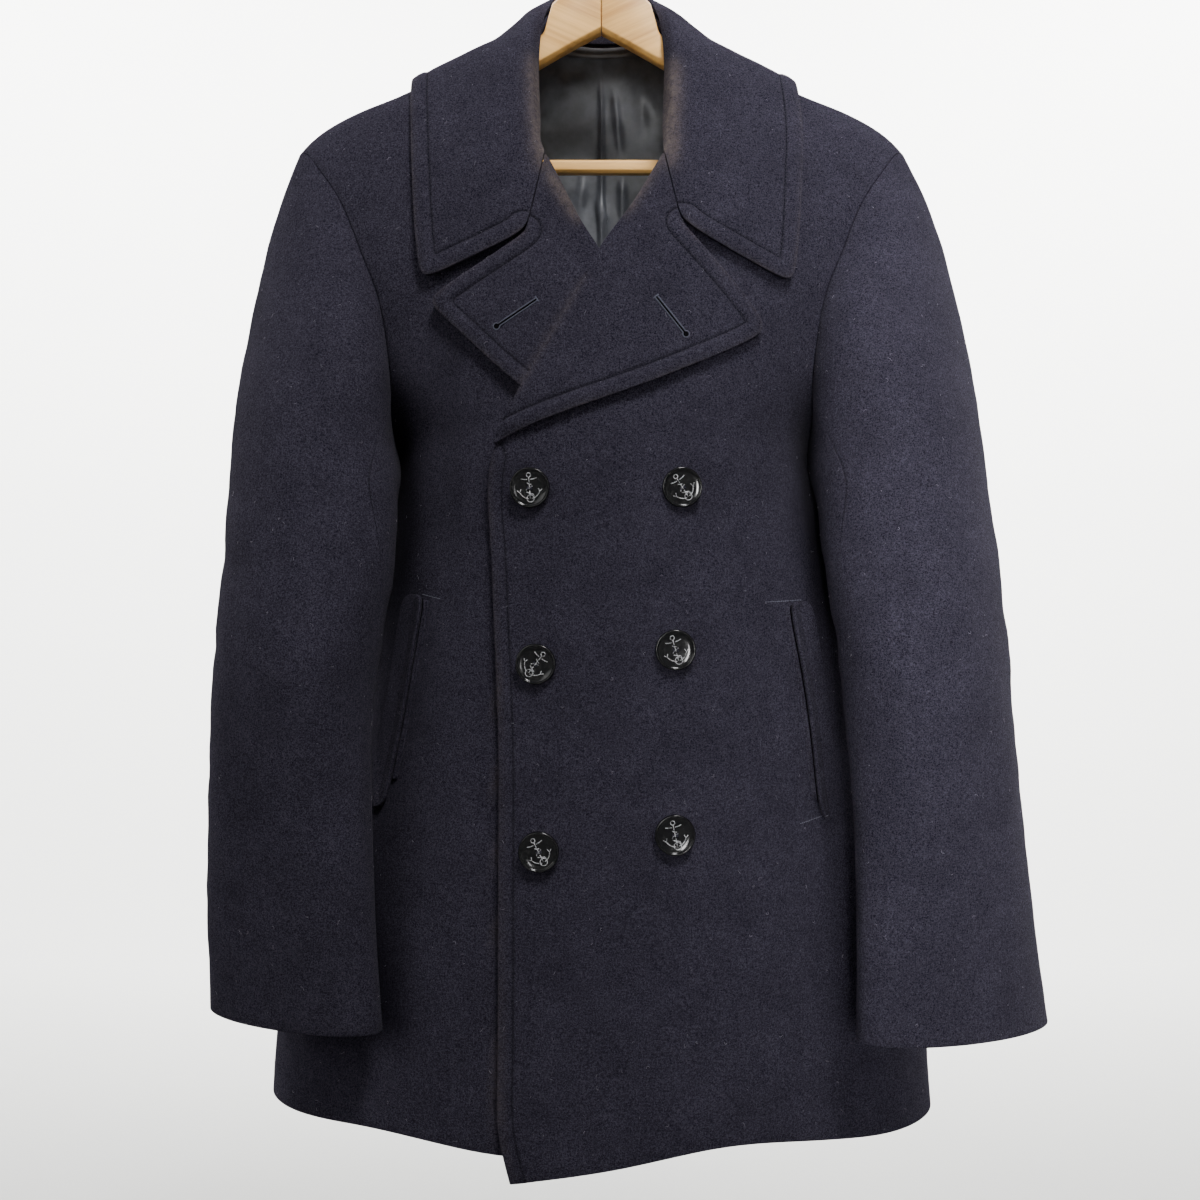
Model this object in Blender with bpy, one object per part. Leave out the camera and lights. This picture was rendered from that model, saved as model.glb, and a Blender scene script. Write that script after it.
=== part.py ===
"""A double-breasted pea coat of dark melton wool, hanging on a plain wooden hanger.

Frame: metres, +Z up, +X to the viewer's right, the coat's front faces -Y. The origin is the inside top of
the hanger's hook, where the rail that carries it lies.

Each cut piece of the coat is a closed wall of cloth: a grid of points on the coat's outer surface, the same
grid moved in by the cloth's thickness, and a rim that joins the two. The coat's surface is worked out from
two tables, SHOULDER (its crest, from the neck to the sleeve) and BODY (its section at each height). Pieces
that are sewn together share their seam's points and normals, and each is then cut back by half the seam gap.
"""

import math

import bmesh
import bpy
import numpy as np
from mathutils import Matrix

# ---------------------------------------------------------------- driving sizes, in metres
MELTON = 0.003  # the wool's thickness
COLLAR_CLOTH = 0.0045  # collar and lapels: two layers of wool
LINING_CLOTH = 0.0012
SEAM_GAP = 0.0006
SLEEVE_SEAM_GAP = 0.0010
REST_GAP = 0.0012  # between a layer and what it lies on
LAPEL_REST = 0.0022
UNDERARM = 0.434  # how far the bottom of the armhole is below the hook
SIDE_HEM = {1: 0.9315, -1: 0.920}  # how far the hem is below the hook at each side seam
MIDDLE_HEM = 0.928
VENT_TOP = 0.715
VENT_LAP = 0.022
FRONT_ARCH = 0.120  # height of the rounding from the shoulder's crest down the front
BACK_ARCH = 0.060
NECK_POINT = 0.0605  # where the shoulder seam meets the neck
STRAIGHT = 0.100  # length below the arch that counts as one more step round the shoulder
SQUARENESS = 2.1  # exponent of the body's section: 2 is an ellipse
SLEEVE_RISE_ROWS = 8
ARMHOLE_ROWS = 11
BODY_ROWS = 14
PANEL_COLUMNS = 13
NECK_COLUMNS = (0.0, 0.022, 0.044)  # the back's columns inside the neck point
FRONT_SEAM = 9  # column of the sleeve's front seam, counted from the shoulder
BACK_SEAM = 15  # column of its back seam
GORGE_GAP = 0.0010  # between a lapel and the collar
COLLAR_REST = 0.0030  # between the collar's inner face and the coat
# The rows of the collar's table, and places between them.
COLLAR_STATIONS = (0, 0.5, 1, 1.5, 2, 2.5, 3, 3.5, 4, 4.35, 4.7, 5, 5.5, 6, 6.5, 7, 7.5, 8, 8.5, 9, 10)
COLLAR_SHARES = (0.0, 0.05, 0.13, 0.26, 0.44, 0.63, 0.82, 1.0)  # rows from the collar's fold to its edge
CROWN_AT = 0.15  # where the collar's roll stands highest
STAND_FRONT_ROWS = [0, 1, 2]  # rows of the fronts' neck edge that the stand is sewn to
STAND_AT_COLLAR = (0.0, 1.0, 2.2, 4.0, 5.6, 7.2)  # the collar table's row above each point of the stand
STAND_ROWS = 3
STAND_GAP = 0.0026  # between the stand's upper edge and the collar's fold
WELT_ROWS = 7
WELT_GAP = 0.0014
LINING_ROWS = [0, 1, 2, 3, 5, 7, 9, 11, 13, 15, 17, 19, 21, 23]  # rows of the back's grid that it follows
LINING_COLUMNS = [0, 1, 2, 4, 6, 8, 10, 12, 14]
LINING_DEPTH = (0.0040, 0.0072)  # below the coat's outer face, at the neck and further down
LINING_TOP_SHARE = 0.10
LINING_SIDE_GAP = 0.004
PLEAT_COLUMNS = (0.14, 0.40)
PLEAT_HEIGHT = 0.0030
LOOP_X = (0.0, 0.0120, 0.0210, 0.0300)  # the loop's columns on each side of the middle
LOOP_CLOTH = 0.0016
LOOP_ROWS = (0.02, 0.16, 0.30)  # the loop's rows, from the neck seam to the lining's next row
LOOP_GAP = 0.0006
BUTTON_RADIUS = 0.0140
BUTTON_SHANK = 0.0014  # the thread that keeps a button off the cloth
BUTTON_PROFILE = (  # radius and height, from the middle of the back round to the middle of the face
    (0.0000, 0.0000),
    (0.0125, 0.0000),
    (0.0140, 0.0012),
    (0.0140, 0.0032),
    (0.0130, 0.0042),
    (0.0114, 0.0040),
    (0.0100, 0.0030),
    (0.0000, 0.0026),
)
HANGER_BEVEL = 0.0030
BAR_DOWN = 0.2135
BAR_HALF_LENGTH = 0.1742
BAR_HALF_SIDE = 0.0050
BAR_CHAMFER = 0.0020
HOOK_WIRE = 0.0019
HOOK_RADIUS = 0.0215  # of the wire's middle line
HOOK_FROM, HOOK_TO = -60, 200  # degrees round the bend, from +X through the top
HOOK_BEND_Z = -0.0500
HOOK_FOOT_Z = -0.0714
RIGHT, LEFT = 1, -1  # as the viewer sees the front


def table(names, rows):
    """The columns of a table, by name."""
    return dict(zip(names.split(), np.array(rows, float).T))


# The crest of the shoulder: its height z at each distance from the middle.
SHOULDER = table(
    "out z",
    [
        (0.0000, -0.0850),
        (0.0300, -0.0900),
        (0.0450, -0.1005),
        (0.0605, -0.1135),
        (0.1000, -0.1324),
        (0.148, -0.1554),
        (0.185, -0.1720),
        (0.205, -0.1832),
        (0.220, -0.1945),
        (0.231, -0.2065),
        (0.260, -0.2500),
    ],
)

# The body's section at each distance below the hook.
BODY = table(
    "down half_width side_y front_y back_y",
    [
        (0.090, 0.262, 0.000, -0.038, 0.068),
        (0.160, 0.262, 0.000, -0.042, 0.067),
        (0.200, 0.260, 0.000, -0.048, 0.067),
        (0.250, 0.245, 0.002, -0.058, 0.069),
        (0.300, 0.225, 0.004, -0.067, 0.071),
        (0.360, 0.195, 0.009, -0.075, 0.074),
        (0.400, 0.1745, 0.014, -0.079, 0.076),
        (0.434, 0.1574, 0.022, -0.082, 0.077),
        (0.470, 0.1690, 0.041, -0.084, 0.078),
        (0.510, 0.1840, 0.048, -0.085, 0.078),
        (0.560, 0.1880, 0.048, -0.086, 0.078),
        (0.620, 0.1970, 0.045, -0.087, 0.078),
        (0.700, 0.216, 0.042, -0.088, 0.079),
        (0.800, 0.243, 0.037, -0.089, 0.081),
        (0.960, 0.259, 0.032, -0.091, 0.084),
    ],
)
# How far the body's sides hang over to the viewer's right at each height; the middle stays where it is.
LEAN = table(
    "down x",
    [(0.400, 0.000), (0.434, 0.001), (0.510, 0.007), (0.600, 0.008), (0.700, 0.004), (0.800, 0.0)],
)
LEAN_FROM = (0.080, 0.150)

# The shoulder seam and, inside 0.06, the back of the neck: steps round the shoulder, + to the back.
CREST_SEAM = table(
    "out over",
    [
        (0.000, 0.47),
        (0.030, 0.385),
        (0.045, 0.27),
        (0.056, 0.05),
        (0.0605, -0.12),
        (0.080, -0.19),
        (0.148, -0.22),
        (0.190, -0.15),
        (0.2295, -0.05),
    ],
)

# The armholes' edges, from the shoulder's tip down to the underarm.
ARMHOLE_FRONT = table(
    "out down",
    [
        (0.2150, 0.2160),
        (0.2030, 0.2290),
        (0.1920, 0.2470),
        (0.1800, 0.2740),
        (0.1690, 0.3020),
        (0.1605, 0.3270),
        (0.1555, 0.3600),
        (0.1537, 0.3880),
        (0.1575, 0.4120),
    ],
)
ARMHOLE_BACK = table(
    "out down",
    [
        (0.2240, 0.2160),
        (0.2140, 0.2400),
        (0.2040, 0.2700),
        (0.1940, 0.3030),
        (0.1850, 0.3350),
        (0.1755, 0.3680),
        (0.1685, 0.3980),
        (0.1650, 0.4200),
    ],
)

# The front edges: x outwards on each side, from the neck down to the hem.
EDGE_OVER = table(
    "down x",
    [
        (0.1145, 0.0605),
        (0.1450, 0.0585),
        (0.1900, 0.0530),
        (0.2240, 0.0480),
        (0.2700, 0.0235),
        (0.3180, -0.0070),
        (0.3715, -0.0365),
        (0.4180, -0.0620),
        (0.4340, -0.0715),
        (0.4530, -0.0785),
        (0.4870, -0.0765),
        (0.5400, -0.0745),
        (0.6600, -0.0702),
        (0.9100, -0.0712),
        (0.9280, -0.0697),
        (0.9430, -0.0625),
    ],
)
EDGE_UNDER = table(
    "down x",
    [
        (0.1145, 0.0605),
        (0.1450, 0.0585),
        (0.1900, 0.0530),
        (0.2220, 0.0440),
        (0.2730, 0.0200),
        (0.3110, -0.0035),
        (0.3660, -0.0295),
        (0.4250, -0.0470),
        (0.4520, -0.0560),
        (0.5000, -0.0660),
        (0.5500, -0.0700),
        (0.9400, -0.0700),
    ],
)
HEM_OVER = table(
    "x down",
    [
        (-0.080, 0.9435),
        (-0.055, 0.9420),
        (-0.020, 0.9350),
        (0.0175, 0.9300),
        (0.060, 0.9205),
        (0.096, 0.9180),
        (0.150, 0.9235),
        (0.200, 0.9290),
        (0.256, 0.9315),
    ],
)
HEM_UNDER = table(
    "x down",
    [(-0.080, 0.923), (0.0, 0.926), (0.060, 0.927), (0.107, 0.9215), (0.160, 0.9165), (0.256, 0.920)],
)

# How far the over front stands off the body's own surface, where it laps over the under front and its lapel.
OVER_LIFT = table(
    "down lift",
    [(0.200, 0.0000), (0.300, 0.0114), (0.440, 0.0120), (0.490, 0.0064), (0.960, 0.0062)],
)
LAP_REACH = (0.090, 0.165)  # the lift is whole out to the first, and gone at the second
UNDER_PLAIN = (0.070, 0.120)  # the under front has no folds inside the first, where the over front lies on it

# Lapels: rows from the break up to the gorge, each from the roll line to the outer edge.
LAPEL_OVER = table(
    "roll_x roll_down edge_x edge_down",
    [
        (-0.0700, 0.4290, -0.0705, 0.4350),
        (-0.0640, 0.4180, -0.0420, 0.4200),
        (-0.0540, 0.3970, 0.0000, 0.4060),
        (-0.0400, 0.3715, 0.0400, 0.3905),
        (-0.0250, 0.3440, 0.0790, 0.3720),
        (-0.0110, 0.3180, 0.1045, 0.3590),
        (-0.0025, 0.3020, 0.1110, 0.3505),
        (0.0060, 0.2890, 0.1045, 0.3400),
        (0.0200, 0.2700, 0.0860, 0.3175),
        (0.0290, 0.2535, 0.0590, 0.2860),
        (0.0440, 0.2240, 0.0545, 0.2800),
    ],
)
LAPEL_UNDER = table(
    "roll_x roll_down edge_x edge_down",
    [
        (-0.0535, 0.4460, -0.0520, 0.4520),
        (-0.0500, 0.4250, -0.0250, 0.4390),
        (-0.0430, 0.3950, 0.0050, 0.4255),
        (-0.0330, 0.3660, 0.0350, 0.4090),
        (-0.0200, 0.3380, 0.0650, 0.3860),
        (-0.0070, 0.3110, 0.0950, 0.3560),
        (0.0010, 0.2970, 0.1185, 0.3345),
        (0.0080, 0.2860, 0.1195, 0.3270),
        (0.0160, 0.2730, 0.1030, 0.3165),
        (0.0205, 0.2630, 0.0585, 0.2875),
        (0.0400, 0.2225, 0.0530, 0.2825),
    ],
)

# The collar on one side, from the middle of the back to the gorge: its fold, its outer edge on the coat as
# x and steps round the shoulder, and how far its roll stands up.
COLLAR = table(
    "fold_x fold_y fold_z edge_x edge_over crown",
    [
        (0.0000, 0.0435, -0.0580, 0.0000, 1.250, 0.0090),
        (0.0200, 0.0405, -0.0605, 0.0500, 1.080, 0.0090),
        (0.0340, 0.0290, -0.0690, 0.0980, 0.790, 0.0110),
        (0.0400, 0.0120, -0.0850, 0.1290, 0.470, 0.0130),
        (0.0430, 0.0000, -0.0980, 0.1420, 0.160, 0.0130),
        (0.0455, -0.0100, -0.1170, 0.1450, -0.270, 0.0110),
        (0.0465, -0.0210, -0.1430, 0.1445, -0.600, 0.0090),
        (0.0455, -0.0310, -0.1700, 0.1410, -0.850, 0.0080),
        (0.0445, -0.0390, -0.1900, 0.1355, -1.320, 0.0070),
        (0.0440, -0.0490, -0.2030, 0.1265, -1.500, 0.0045),
        (0.0440, -0.0545, -0.2140, 0.0900, -1.500, 0.0024),
    ],
)
COLLAR_SPREAD = {RIGHT: 1.02, LEFT: 0.965}  # how far out the front of each leaf lies, beside the table's
COLLAR_SPREAD_ROWS = (4, 6)  # the table's rows over which the spread comes in

# Soft folds of the cloth on the fronts: a ridge (or a trough, if it is below 0) between two points.
FOLDS = table(
    "x1 down1 x2 down2 width height",
    [
        (0.034, 0.490, -0.028, 0.610, 0.028, 0.0030),
        (0.070, 0.470, 0.060, 0.640, 0.030, 0.0020),
        (0.016, 0.590, -0.030, 0.740, 0.028, -0.0012),
        (-0.030, 0.650, -0.058, 0.760, 0.028, 0.0020),
        (0.112, 0.360, 0.100, 0.560, 0.028, -0.0026),
        (0.060, 0.700, 0.085, 0.900, 0.034, 0.0026),
        (-0.118, 0.360, -0.120, 0.540, 0.026, -0.0026),
        (-0.110, 0.580, -0.118, 0.900, 0.034, 0.0034),
        (-0.165, 0.640, -0.175, 0.900, 0.030, -0.0030),
        (0.165, 0.660, 0.180, 0.900, 0.032, -0.0030),
    ],
)
BACK_FOLDS = table(
    "x1 down1 x2 down2 width height",
    [
        (-0.120, 0.300, -0.090, 0.520, 0.030, -0.0030),
        (0.125, 0.310, 0.095, 0.540, 0.030, -0.0028),
        (0.040, 0.430, 0.080, 0.640, 0.030, 0.0028),
        (-0.050, 0.450, -0.085, 0.660, 0.030, 0.0026),
        (0.130, 0.620, 0.150, 0.900, 0.034, 0.0034),
        (-0.125, 0.600, -0.150, 0.900, 0.034, 0.0032),
    ],
)

# The sleeves below the cap: the tube's middle, its long and short half-widths, and the long one's turn
# from the coat's width towards the back, in degrees.
SLEEVES = {
    RIGHT: table(
        "down x y long short turn",
        [
            (0.470, 0.2235, -0.0290, 0.0715, 0.0590, 58),
            (0.520, 0.2255, -0.0460, 0.0710, 0.0570, 48),
            (0.580, 0.2285, -0.0620, 0.0690, 0.0515, 38),
            (0.640, 0.2325, -0.0690, 0.0680, 0.0460, 31),
            (0.700, 0.2375, -0.0720, 0.0695, 0.0405, 28),
            (0.770, 0.2425, -0.0730, 0.0745, 0.0345, 26),
            (0.8435, 0.2480, -0.0720, 0.0810, 0.0285, 24),
        ],
    ),
    LEFT: table(
        "down x y long short turn",
        [
            (0.470, 0.2140, -0.0300, 0.0715, 0.0575, 58),
            (0.520, 0.2130, -0.0450, 0.0695, 0.0560, 48),
            (0.580, 0.2170, -0.0600, 0.0665, 0.0510, 38),
            (0.640, 0.2200, -0.0660, 0.0650, 0.0450, 31),
            (0.700, 0.2200, -0.0690, 0.0665, 0.0395, 27),
            (0.770, 0.2190, -0.0700, 0.0675, 0.0340, 23),
            (0.837, 0.2160, -0.0690, 0.0685, 0.0285, 20),
        ],
    ),
}
SEAM_TWIST = math.radians(34)  # how far the sleeve's seams turn towards the body on their way down
SEAM_TWISTS_FROM = (0.440, 0.600)
CUFF_RISE = {RIGHT: -0.003, LEFT: 0.002}  # how much higher the cuff is at the arm's outer side
CAP_PUFF = {RIGHT: 0.070, LEFT: 0.050}  # how strongly the sleeve's cap stands out of the armhole

# Creases round the sleeves: ridges at a place down the arm and an angle from its outer side, forwards.
SLEEVE_FOLDS = table(
    "down angle length width height",
    [
        (0.350, 95, 0.100, 30, 0.0040),
        (0.494, 154, 0.036, 26, 0.0080),
        (0.590, 60, 0.090, 26, 0.0035),
        (0.640, 110, 0.070, 24, -0.0035),
        (0.700, 30, 0.090, 26, -0.0030),
        (0.420, 230, 0.090, 30, -0.0040),
        (0.620, 250, 0.080, 30, 0.0040),
    ],
)

# Pocket welts: the opening's line from top to bottom and the welt's width, x outwards on each side.
WELTS = {
    RIGHT: {"top": (0.1252, 0.5430), "bottom": (0.1532, 0.6990), "width": (0.0165, 0.0155)},
    LEFT: {"top": (0.1338, 0.5380), "bottom": (0.1612, 0.6920), "width": (0.0165, 0.0155)},
}
WELT_CLOTH = 0.0030

# Button middles on the over front.
BUTTONS = table(
    "x down turn",
    [
        (-0.0472, 0.4648, -8),
        (0.0526, 0.4648, 14),
        (-0.0436, 0.5862, 24),
        (0.0490, 0.5765, -16),
        (-0.0421, 0.7140, 38),
        (0.0490, 0.7030, 6),
    ],
)

# The hanger's arm: its upper and lower edges below the hook, outwards from the mitre, and its half-thickness.
HANGER_ARM = table(
    "out top bottom half",
    [
        (0.0002, 0.0720, 0.1120, 0.0068),
        (0.0200, 0.0745, 0.1225, 0.0068),
        (0.0370, 0.0900, 0.1322, 0.0068),
        (0.0435, 0.1120, 0.1360, 0.0068),
        (0.0565, 0.1250, 0.1432, 0.0068),
        (0.0680, 0.1322, 0.1493, 0.0068),
        (0.1000, 0.1482, 0.1660, 0.0068),
        (0.1480, 0.1690, 0.1920, 0.0068),
        (0.1745, 0.1806, 0.2078, 0.0070),
        (0.1755, 0.1811, 0.2195, 0.0070),
        (0.1900, 0.1895, 0.2215, 0.0074),
        (0.2000, 0.1960, 0.2205, 0.0066),
        (0.2060, 0.2020, 0.2120, 0.0046),
    ],
)

# Surface colour, metallic value and roughness of each material.
FINISHES = {
    "melton_wool": ((0.020, 0.018, 0.032), 0.0, 0.95),
    "satin_lining": ((0.012, 0.012, 0.014), 0.0, 0.35),
    "pale_wood": ((0.62, 0.38, 0.18), 0.0, 0.45),
    "black_button": ((0.008, 0.008, 0.009), 0.0, 0.18),
    "hook_steel": ((0.62, 0.62, 0.63), 1.0, 0.25),
}


# ---------------------------------------------------------------- curves through a table's rows
def smooth(at, keys, values):
    """A curve through the table's points, level beyond its ends; keys rise."""
    at = np.clip(at, keys[0], keys[-1])
    step = np.diff(keys)
    slope = np.diff(values) / step
    middle = (slope[:-1] * step[1:] + slope[1:] * step[:-1]) / (step[:-1] + step[1:])
    most = 2.5 * np.minimum(np.abs(slope[:-1]), np.abs(slope[1:]))  # steeper would swing past the points
    middle = np.where(slope[:-1] * slope[1:] > 0, np.clip(middle, -most, most), 0)
    turn = np.concatenate([slope[:1], middle, slope[-1:]])
    i = np.clip(np.searchsorted(keys, at, side="right") - 1, 0, len(keys) - 2)
    t = (at - keys[i]) / step[i]
    start = values[i] * (1 + 2 * t) * (1 - t) ** 2 + turn[i] * step[i] * t * (1 - t) ** 2
    end = values[i + 1] * t**2 * (3 - 2 * t) - turn[i + 1] * step[i] * t**2 * (1 - t)
    return start + end


def ease(value, low, high):
    """0 below low, 1 above high, and a soft step between."""
    t = np.clip((value - low) / (high - low), 0, 1)
    return t * t * (3 - 2 * t)


def blend(a, b, share):
    return a + (b - a) * share


# ---------------------------------------------------------------- the coat's own surface
def section(z, column):
    return smooth(-np.asarray(z, float), BODY["down"], BODY[column])


def crest(x):
    return smooth(np.abs(x), SHOULDER["out"], SHOULDER["z"])


def height_of(x, over):
    """The height of the point that lies `over` round the shoulder: 0 on the crest, below 0 on the front."""
    bent = np.minimum(np.abs(over), 1)
    arch = np.where(over < 0, FRONT_ARCH, BACK_ARCH)
    return crest(x) - arch * (1 - np.cos(bent * math.pi / 2)) - STRAIGHT * (np.abs(over) - bent)


def over_of(x, z, face):
    """How far round the shoulder the point at this height lies, on the front (-1) or back (1) face."""
    fall = crest(x) - z
    arch = FRONT_ARCH if face < 0 else BACK_ARCH
    bent = np.arccos(np.clip(1 - fall / arch, 0, 1)) / (math.pi / 2)
    return face * (bent + np.maximum(fall - arch, 0) / STRAIGHT)


def depth_of(x, z, over):
    """y of the coat's surface at this place."""
    share = np.clip(np.abs(x) / section(z, "half_width"), 0, 1)
    round_off = (1 - share**SQUARENESS) ** (1 / SQUARENESS)
    face_y = np.where(over < 0, section(z, "front_y"), section(z, "back_y"))
    side_y = section(z, "side_y")
    return side_y + (face_y - side_y) * round_off * np.sin(np.minimum(np.abs(over), 1) * math.pi / 2)


def surface(x, z, face):
    """The coat's surface at this x and height, on its front (-1) or back (1) face."""
    x, z = np.broadcast_arrays(np.asarray(x, float), np.asarray(z, float))
    return np.stack([x, depth_of(x, z, over_of(x, z, face)), z], axis=-1)


def facing_out(x, z, face):
    """The surface's outward direction at this place."""
    step = 0.002
    across = surface(x + step, z, face) - surface(x - step, z, face)
    down = surface(x, z - step, face) - surface(x, z + step, face)
    out = np.cross(across, down) * -face
    out = out / np.linalg.norm(out, axis=-1, keepdims=True)
    return out * np.where(out[..., 1:2] * face > 0, 1, -1)


def fold_height(x, z, folds):
    """How far the cloth's soft folds stand out at this place; x is the viewer's."""
    total = np.zeros(np.shape(x))
    for x1, down1, x2, down2, width, height in zip(*folds.values()):
        along = np.array([x2 - x1, down1 - down2])
        length = np.linalg.norm(along)
        along = along / length
        place = (x - x1) * along[0] + (z + down1) * along[1]
        aside = (x - x1) * along[1] - (z + down1) * along[0]
        fade = ease(place, -0.3 * length, 0.2 * length) * (1 - ease(place, 0.8 * length, 1.3 * length))
        total = total + height * fade * np.exp(-((aside / width) ** 2))
    return total


def stand_off(side, x, z):
    """How far a front's outer face is from the body's own surface; x is outwards on this side."""
    folds = fold_height(x * side, z, FOLDS)
    if side == LEFT:
        return folds * ease(x, *UNDER_PLAIN)
    lift = smooth(-z, OVER_LIFT["down"], OVER_LIFT["lift"])
    return lift * (1 - ease(x, *LAP_REACH)) + folds


def leaned(points, side):
    """The points with the body's sides hung over; x is outwards on this side."""
    x, z = points[..., 0], points[..., 2]
    shift = smooth(-z, LEAN["down"], LEAN["x"]) * ease(np.abs(x), *LEAN_FROM) * side
    return points + np.stack([shift, 0 * x, 0 * x], axis=-1)


def front_cloth(side, x, z, height=0.0):
    """A point on a front panel's outer face, or `height` above it; x is outwards on this side."""
    x, z = np.broadcast_arrays(np.asarray(x, float), np.asarray(z, float))
    stand = stand_off(side, x, z) + height
    return leaned(surface(x, z, -1) + facing_out(x, z, -1) * stand[..., None], side) * (side, 1, 1)


# ---------------------------------------------------------------- meshes
def finish_of(name):
    """The material of this name, made once."""
    if name in bpy.data.materials:
        return bpy.data.materials[name]
    colour, metallic, roughness = FINISHES[name]
    material = bpy.data.materials.new(name)
    material.use_nodes = True
    shader = material.node_tree.nodes["Principled BSDF"]
    shader.inputs["Base Color"].default_value = (*colour, 1)
    shader.inputs["Metallic"].default_value = metallic
    shader.inputs["Roughness"].default_value = roughness
    material.diffuse_color = (*colour, 1)
    return material


def piece(name, mesh, finish):
    """An object of this mesh, shaded smooth up to its edges."""
    mesh.shade_smooth()
    mesh.set_sharp_from_angle(angle=math.radians(50))
    mesh.materials.append(finish_of(finish))
    obj = bpy.data.objects.new(name, mesh)
    bpy.context.scene.collection.objects.link(obj)
    return obj


def mesh_of(name, bm):
    bmesh.ops.recalc_face_normals(bm, faces=bm.faces)
    if bm.calc_volume(signed=True) < 0:
        bmesh.ops.reverse_faces(bm, faces=bm.faces)
    mesh = bpy.data.meshes.new(name)
    bm.to_mesh(mesh)
    bm.free()
    return mesh


def wall_between(name, outer, inner, finish):
    """A closed wall of cloth: its outer face, its inner face, and the rim between them."""
    bm = bmesh.new()
    layers = []
    for points in (outer, inner):
        layers.append([[bm.verts.new(p) for p in row] for row in points])
    for grid in layers:
        for upper, lower in zip(grid, grid[1:]):
            for a, b, c, d in zip(upper, upper[1:], lower[1:], lower):
                bm.faces.new((a, b, c, d))
    loops = [rim_of(grid) for grid in layers]
    for k in range(len(loops[0])):
        near, far = loops[0][k - 1], loops[0][k]
        low_near, low_far = loops[1][k - 1], loops[1][k]
        if near.co.z > far.co.z:  # the same diagonal on both sides of a seam
            bm.faces.new((near, far, low_far))
            bm.faces.new((near, low_far, low_near))
        else:
            bm.faces.new((near, far, low_near))
            bm.faces.new((far, low_far, low_near))
    return piece(name, mesh_of(name, bm), finish)


def wall(name, outer, inward, thickness, finish="melton_wool"):
    return wall_between(name, outer, outer + inward * thickness, finish)


def rim_of(grid):
    """The outer points of a grid, in order round it."""
    right = [row[-1] for row in grid[1:-1]]
    left = [row[0] for row in grid[1:-1]]
    return grid[0] + right + grid[-1][::-1] + left[::-1]


def sewn_directions(grids):
    """Inward directions at each grid's points, shared where the pieces are sewn together.

    Each grid comes with its turn: 1 where its columns run towards +X as its rows run down a front, and -1
    where they do so on the back.
    """
    total = {}
    keys = []
    for points, turn in grids:
        rounded = np.round(points, 6) + 0.0
        keys.append([[tuple(p) for p in row] for row in rounded])
        first = points[1:, 1:] - points[:-1, :-1]
        second = points[1:, :-1] - points[:-1, 1:]
        faces = np.cross(first, second) * turn
        for i, j in np.ndindex(faces.shape[:2]):
            for key in (keys[-1][i][j], keys[-1][i + 1][j], keys[-1][i][j + 1], keys[-1][i + 1][j + 1]):
                total[key] = total.get(key, 0) + faces[i, j]
    found = []
    for names in keys:
        inward = np.array([[total[name] for name in row] for row in names])
        found.append(inward / np.linalg.norm(inward, axis=-1, keepdims=True))
    return found


def inward_of(points, turn):
    """Inward directions of one grid by itself."""
    return sewn_directions([(points, turn)])[0]


def cut_back(points, edges, by):
    """The grid with these edges moved in along the cloth, so that a seam's two sides stay apart."""
    points = points.copy()
    for edge in edges:
        if edge == "top":
            step = points[1] - points[0]
            points[0] += step / np.linalg.norm(step, axis=-1, keepdims=True) * by
        else:
            here, inside = (0, 1) if edge == "first" else (-1, -2)
            step = points[:, inside] - points[:, here]
            points[:, here] += step / np.linalg.norm(step, axis=-1, keepdims=True) * by
    return points


# ---------------------------------------------------------------- the body's panels
def armhole_curve(face):
    """The armhole's edge as (x, steps round the shoulder), from the shoulder's tip to the underarm."""
    edge = ARMHOLE_FRONT if face < 0 else ARMHOLE_BACK
    tip = CREST_SEAM["out"][-1]
    x = np.concatenate([[tip], edge["out"], [section(-UNDERARM, "half_width")]])
    z = np.concatenate([[crest(tip)], -edge["down"], [-UNDERARM]])
    over = np.array([over_of(a, b, face) for a, b in zip(x, z)])
    over[0] = CREST_SEAM["over"][-1]
    keys = np.arange(len(x), dtype=float)
    dense = np.linspace(0, len(x) - 1, 600)
    return smooth(dense, keys, x), smooth(dense, keys, over)


def seam_over(x, face):
    """Steps round the shoulder along the seam, and on the back along the neck."""
    out = np.maximum(x, NECK_POINT) if face < 0 else x
    return smooth(out, CREST_SEAM["out"], CREST_SEAM["over"])


def row_over(share, x, face):
    """Steps round the shoulder on a row that lies this share of the way from its seam to the underarm."""
    return blend(seam_over(x, face), over_of(x, -UNDERARM, face), share)


def crossing(share, x, over, face):
    """Where an edge, given as points, meets a row: its x there."""
    beyond = (over - row_over(share, x, face)) * face
    return np.interp(0, beyond, x)


def row_points(share, start, end, fractions, face):
    """The row's points between two x, at these fractions of the angle round the body."""
    z = height_of(np.array([start, end]), row_over(share, np.array([start, end]), face))
    width = section(z, "half_width")
    angle = np.arcsin(np.clip(np.array([start, end]) / width, -1, 1))
    angle = blend(angle[0], angle[1], fractions)
    x = blend(start, end, fractions)
    for _ in range(6):
        z = height_of(x, row_over(share, x, face))
        x = section(z, "half_width") * np.sin(angle)
    over = row_over(share, x, face)
    z = height_of(x, over)
    return np.stack([x, depth_of(x, z, over), z], axis=-1)


def lower_points(share, edge, hem, fractions, face):
    """A row below the underarm: level at first, and along the hem at last."""
    hem_z = -SIDE_HEM[RIGHT]
    hem_width = section(hem_z, "half_width")
    hem_x = hem_width * np.sin(blend(math.asin(edge(hem_z) / hem_width), math.pi / 2, fractions))
    z = blend(-UNDERARM, -hem(hem_x), share)
    width = section(z, "half_width")
    start = np.arcsin(np.clip(edge(z[0]) / width, -1, 1))
    x = width * np.sin(blend(start, math.pi / 2, fractions))
    return np.stack([x, depth_of(x, z, face * np.ones(len(x)) * 9), z], axis=-1)


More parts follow.
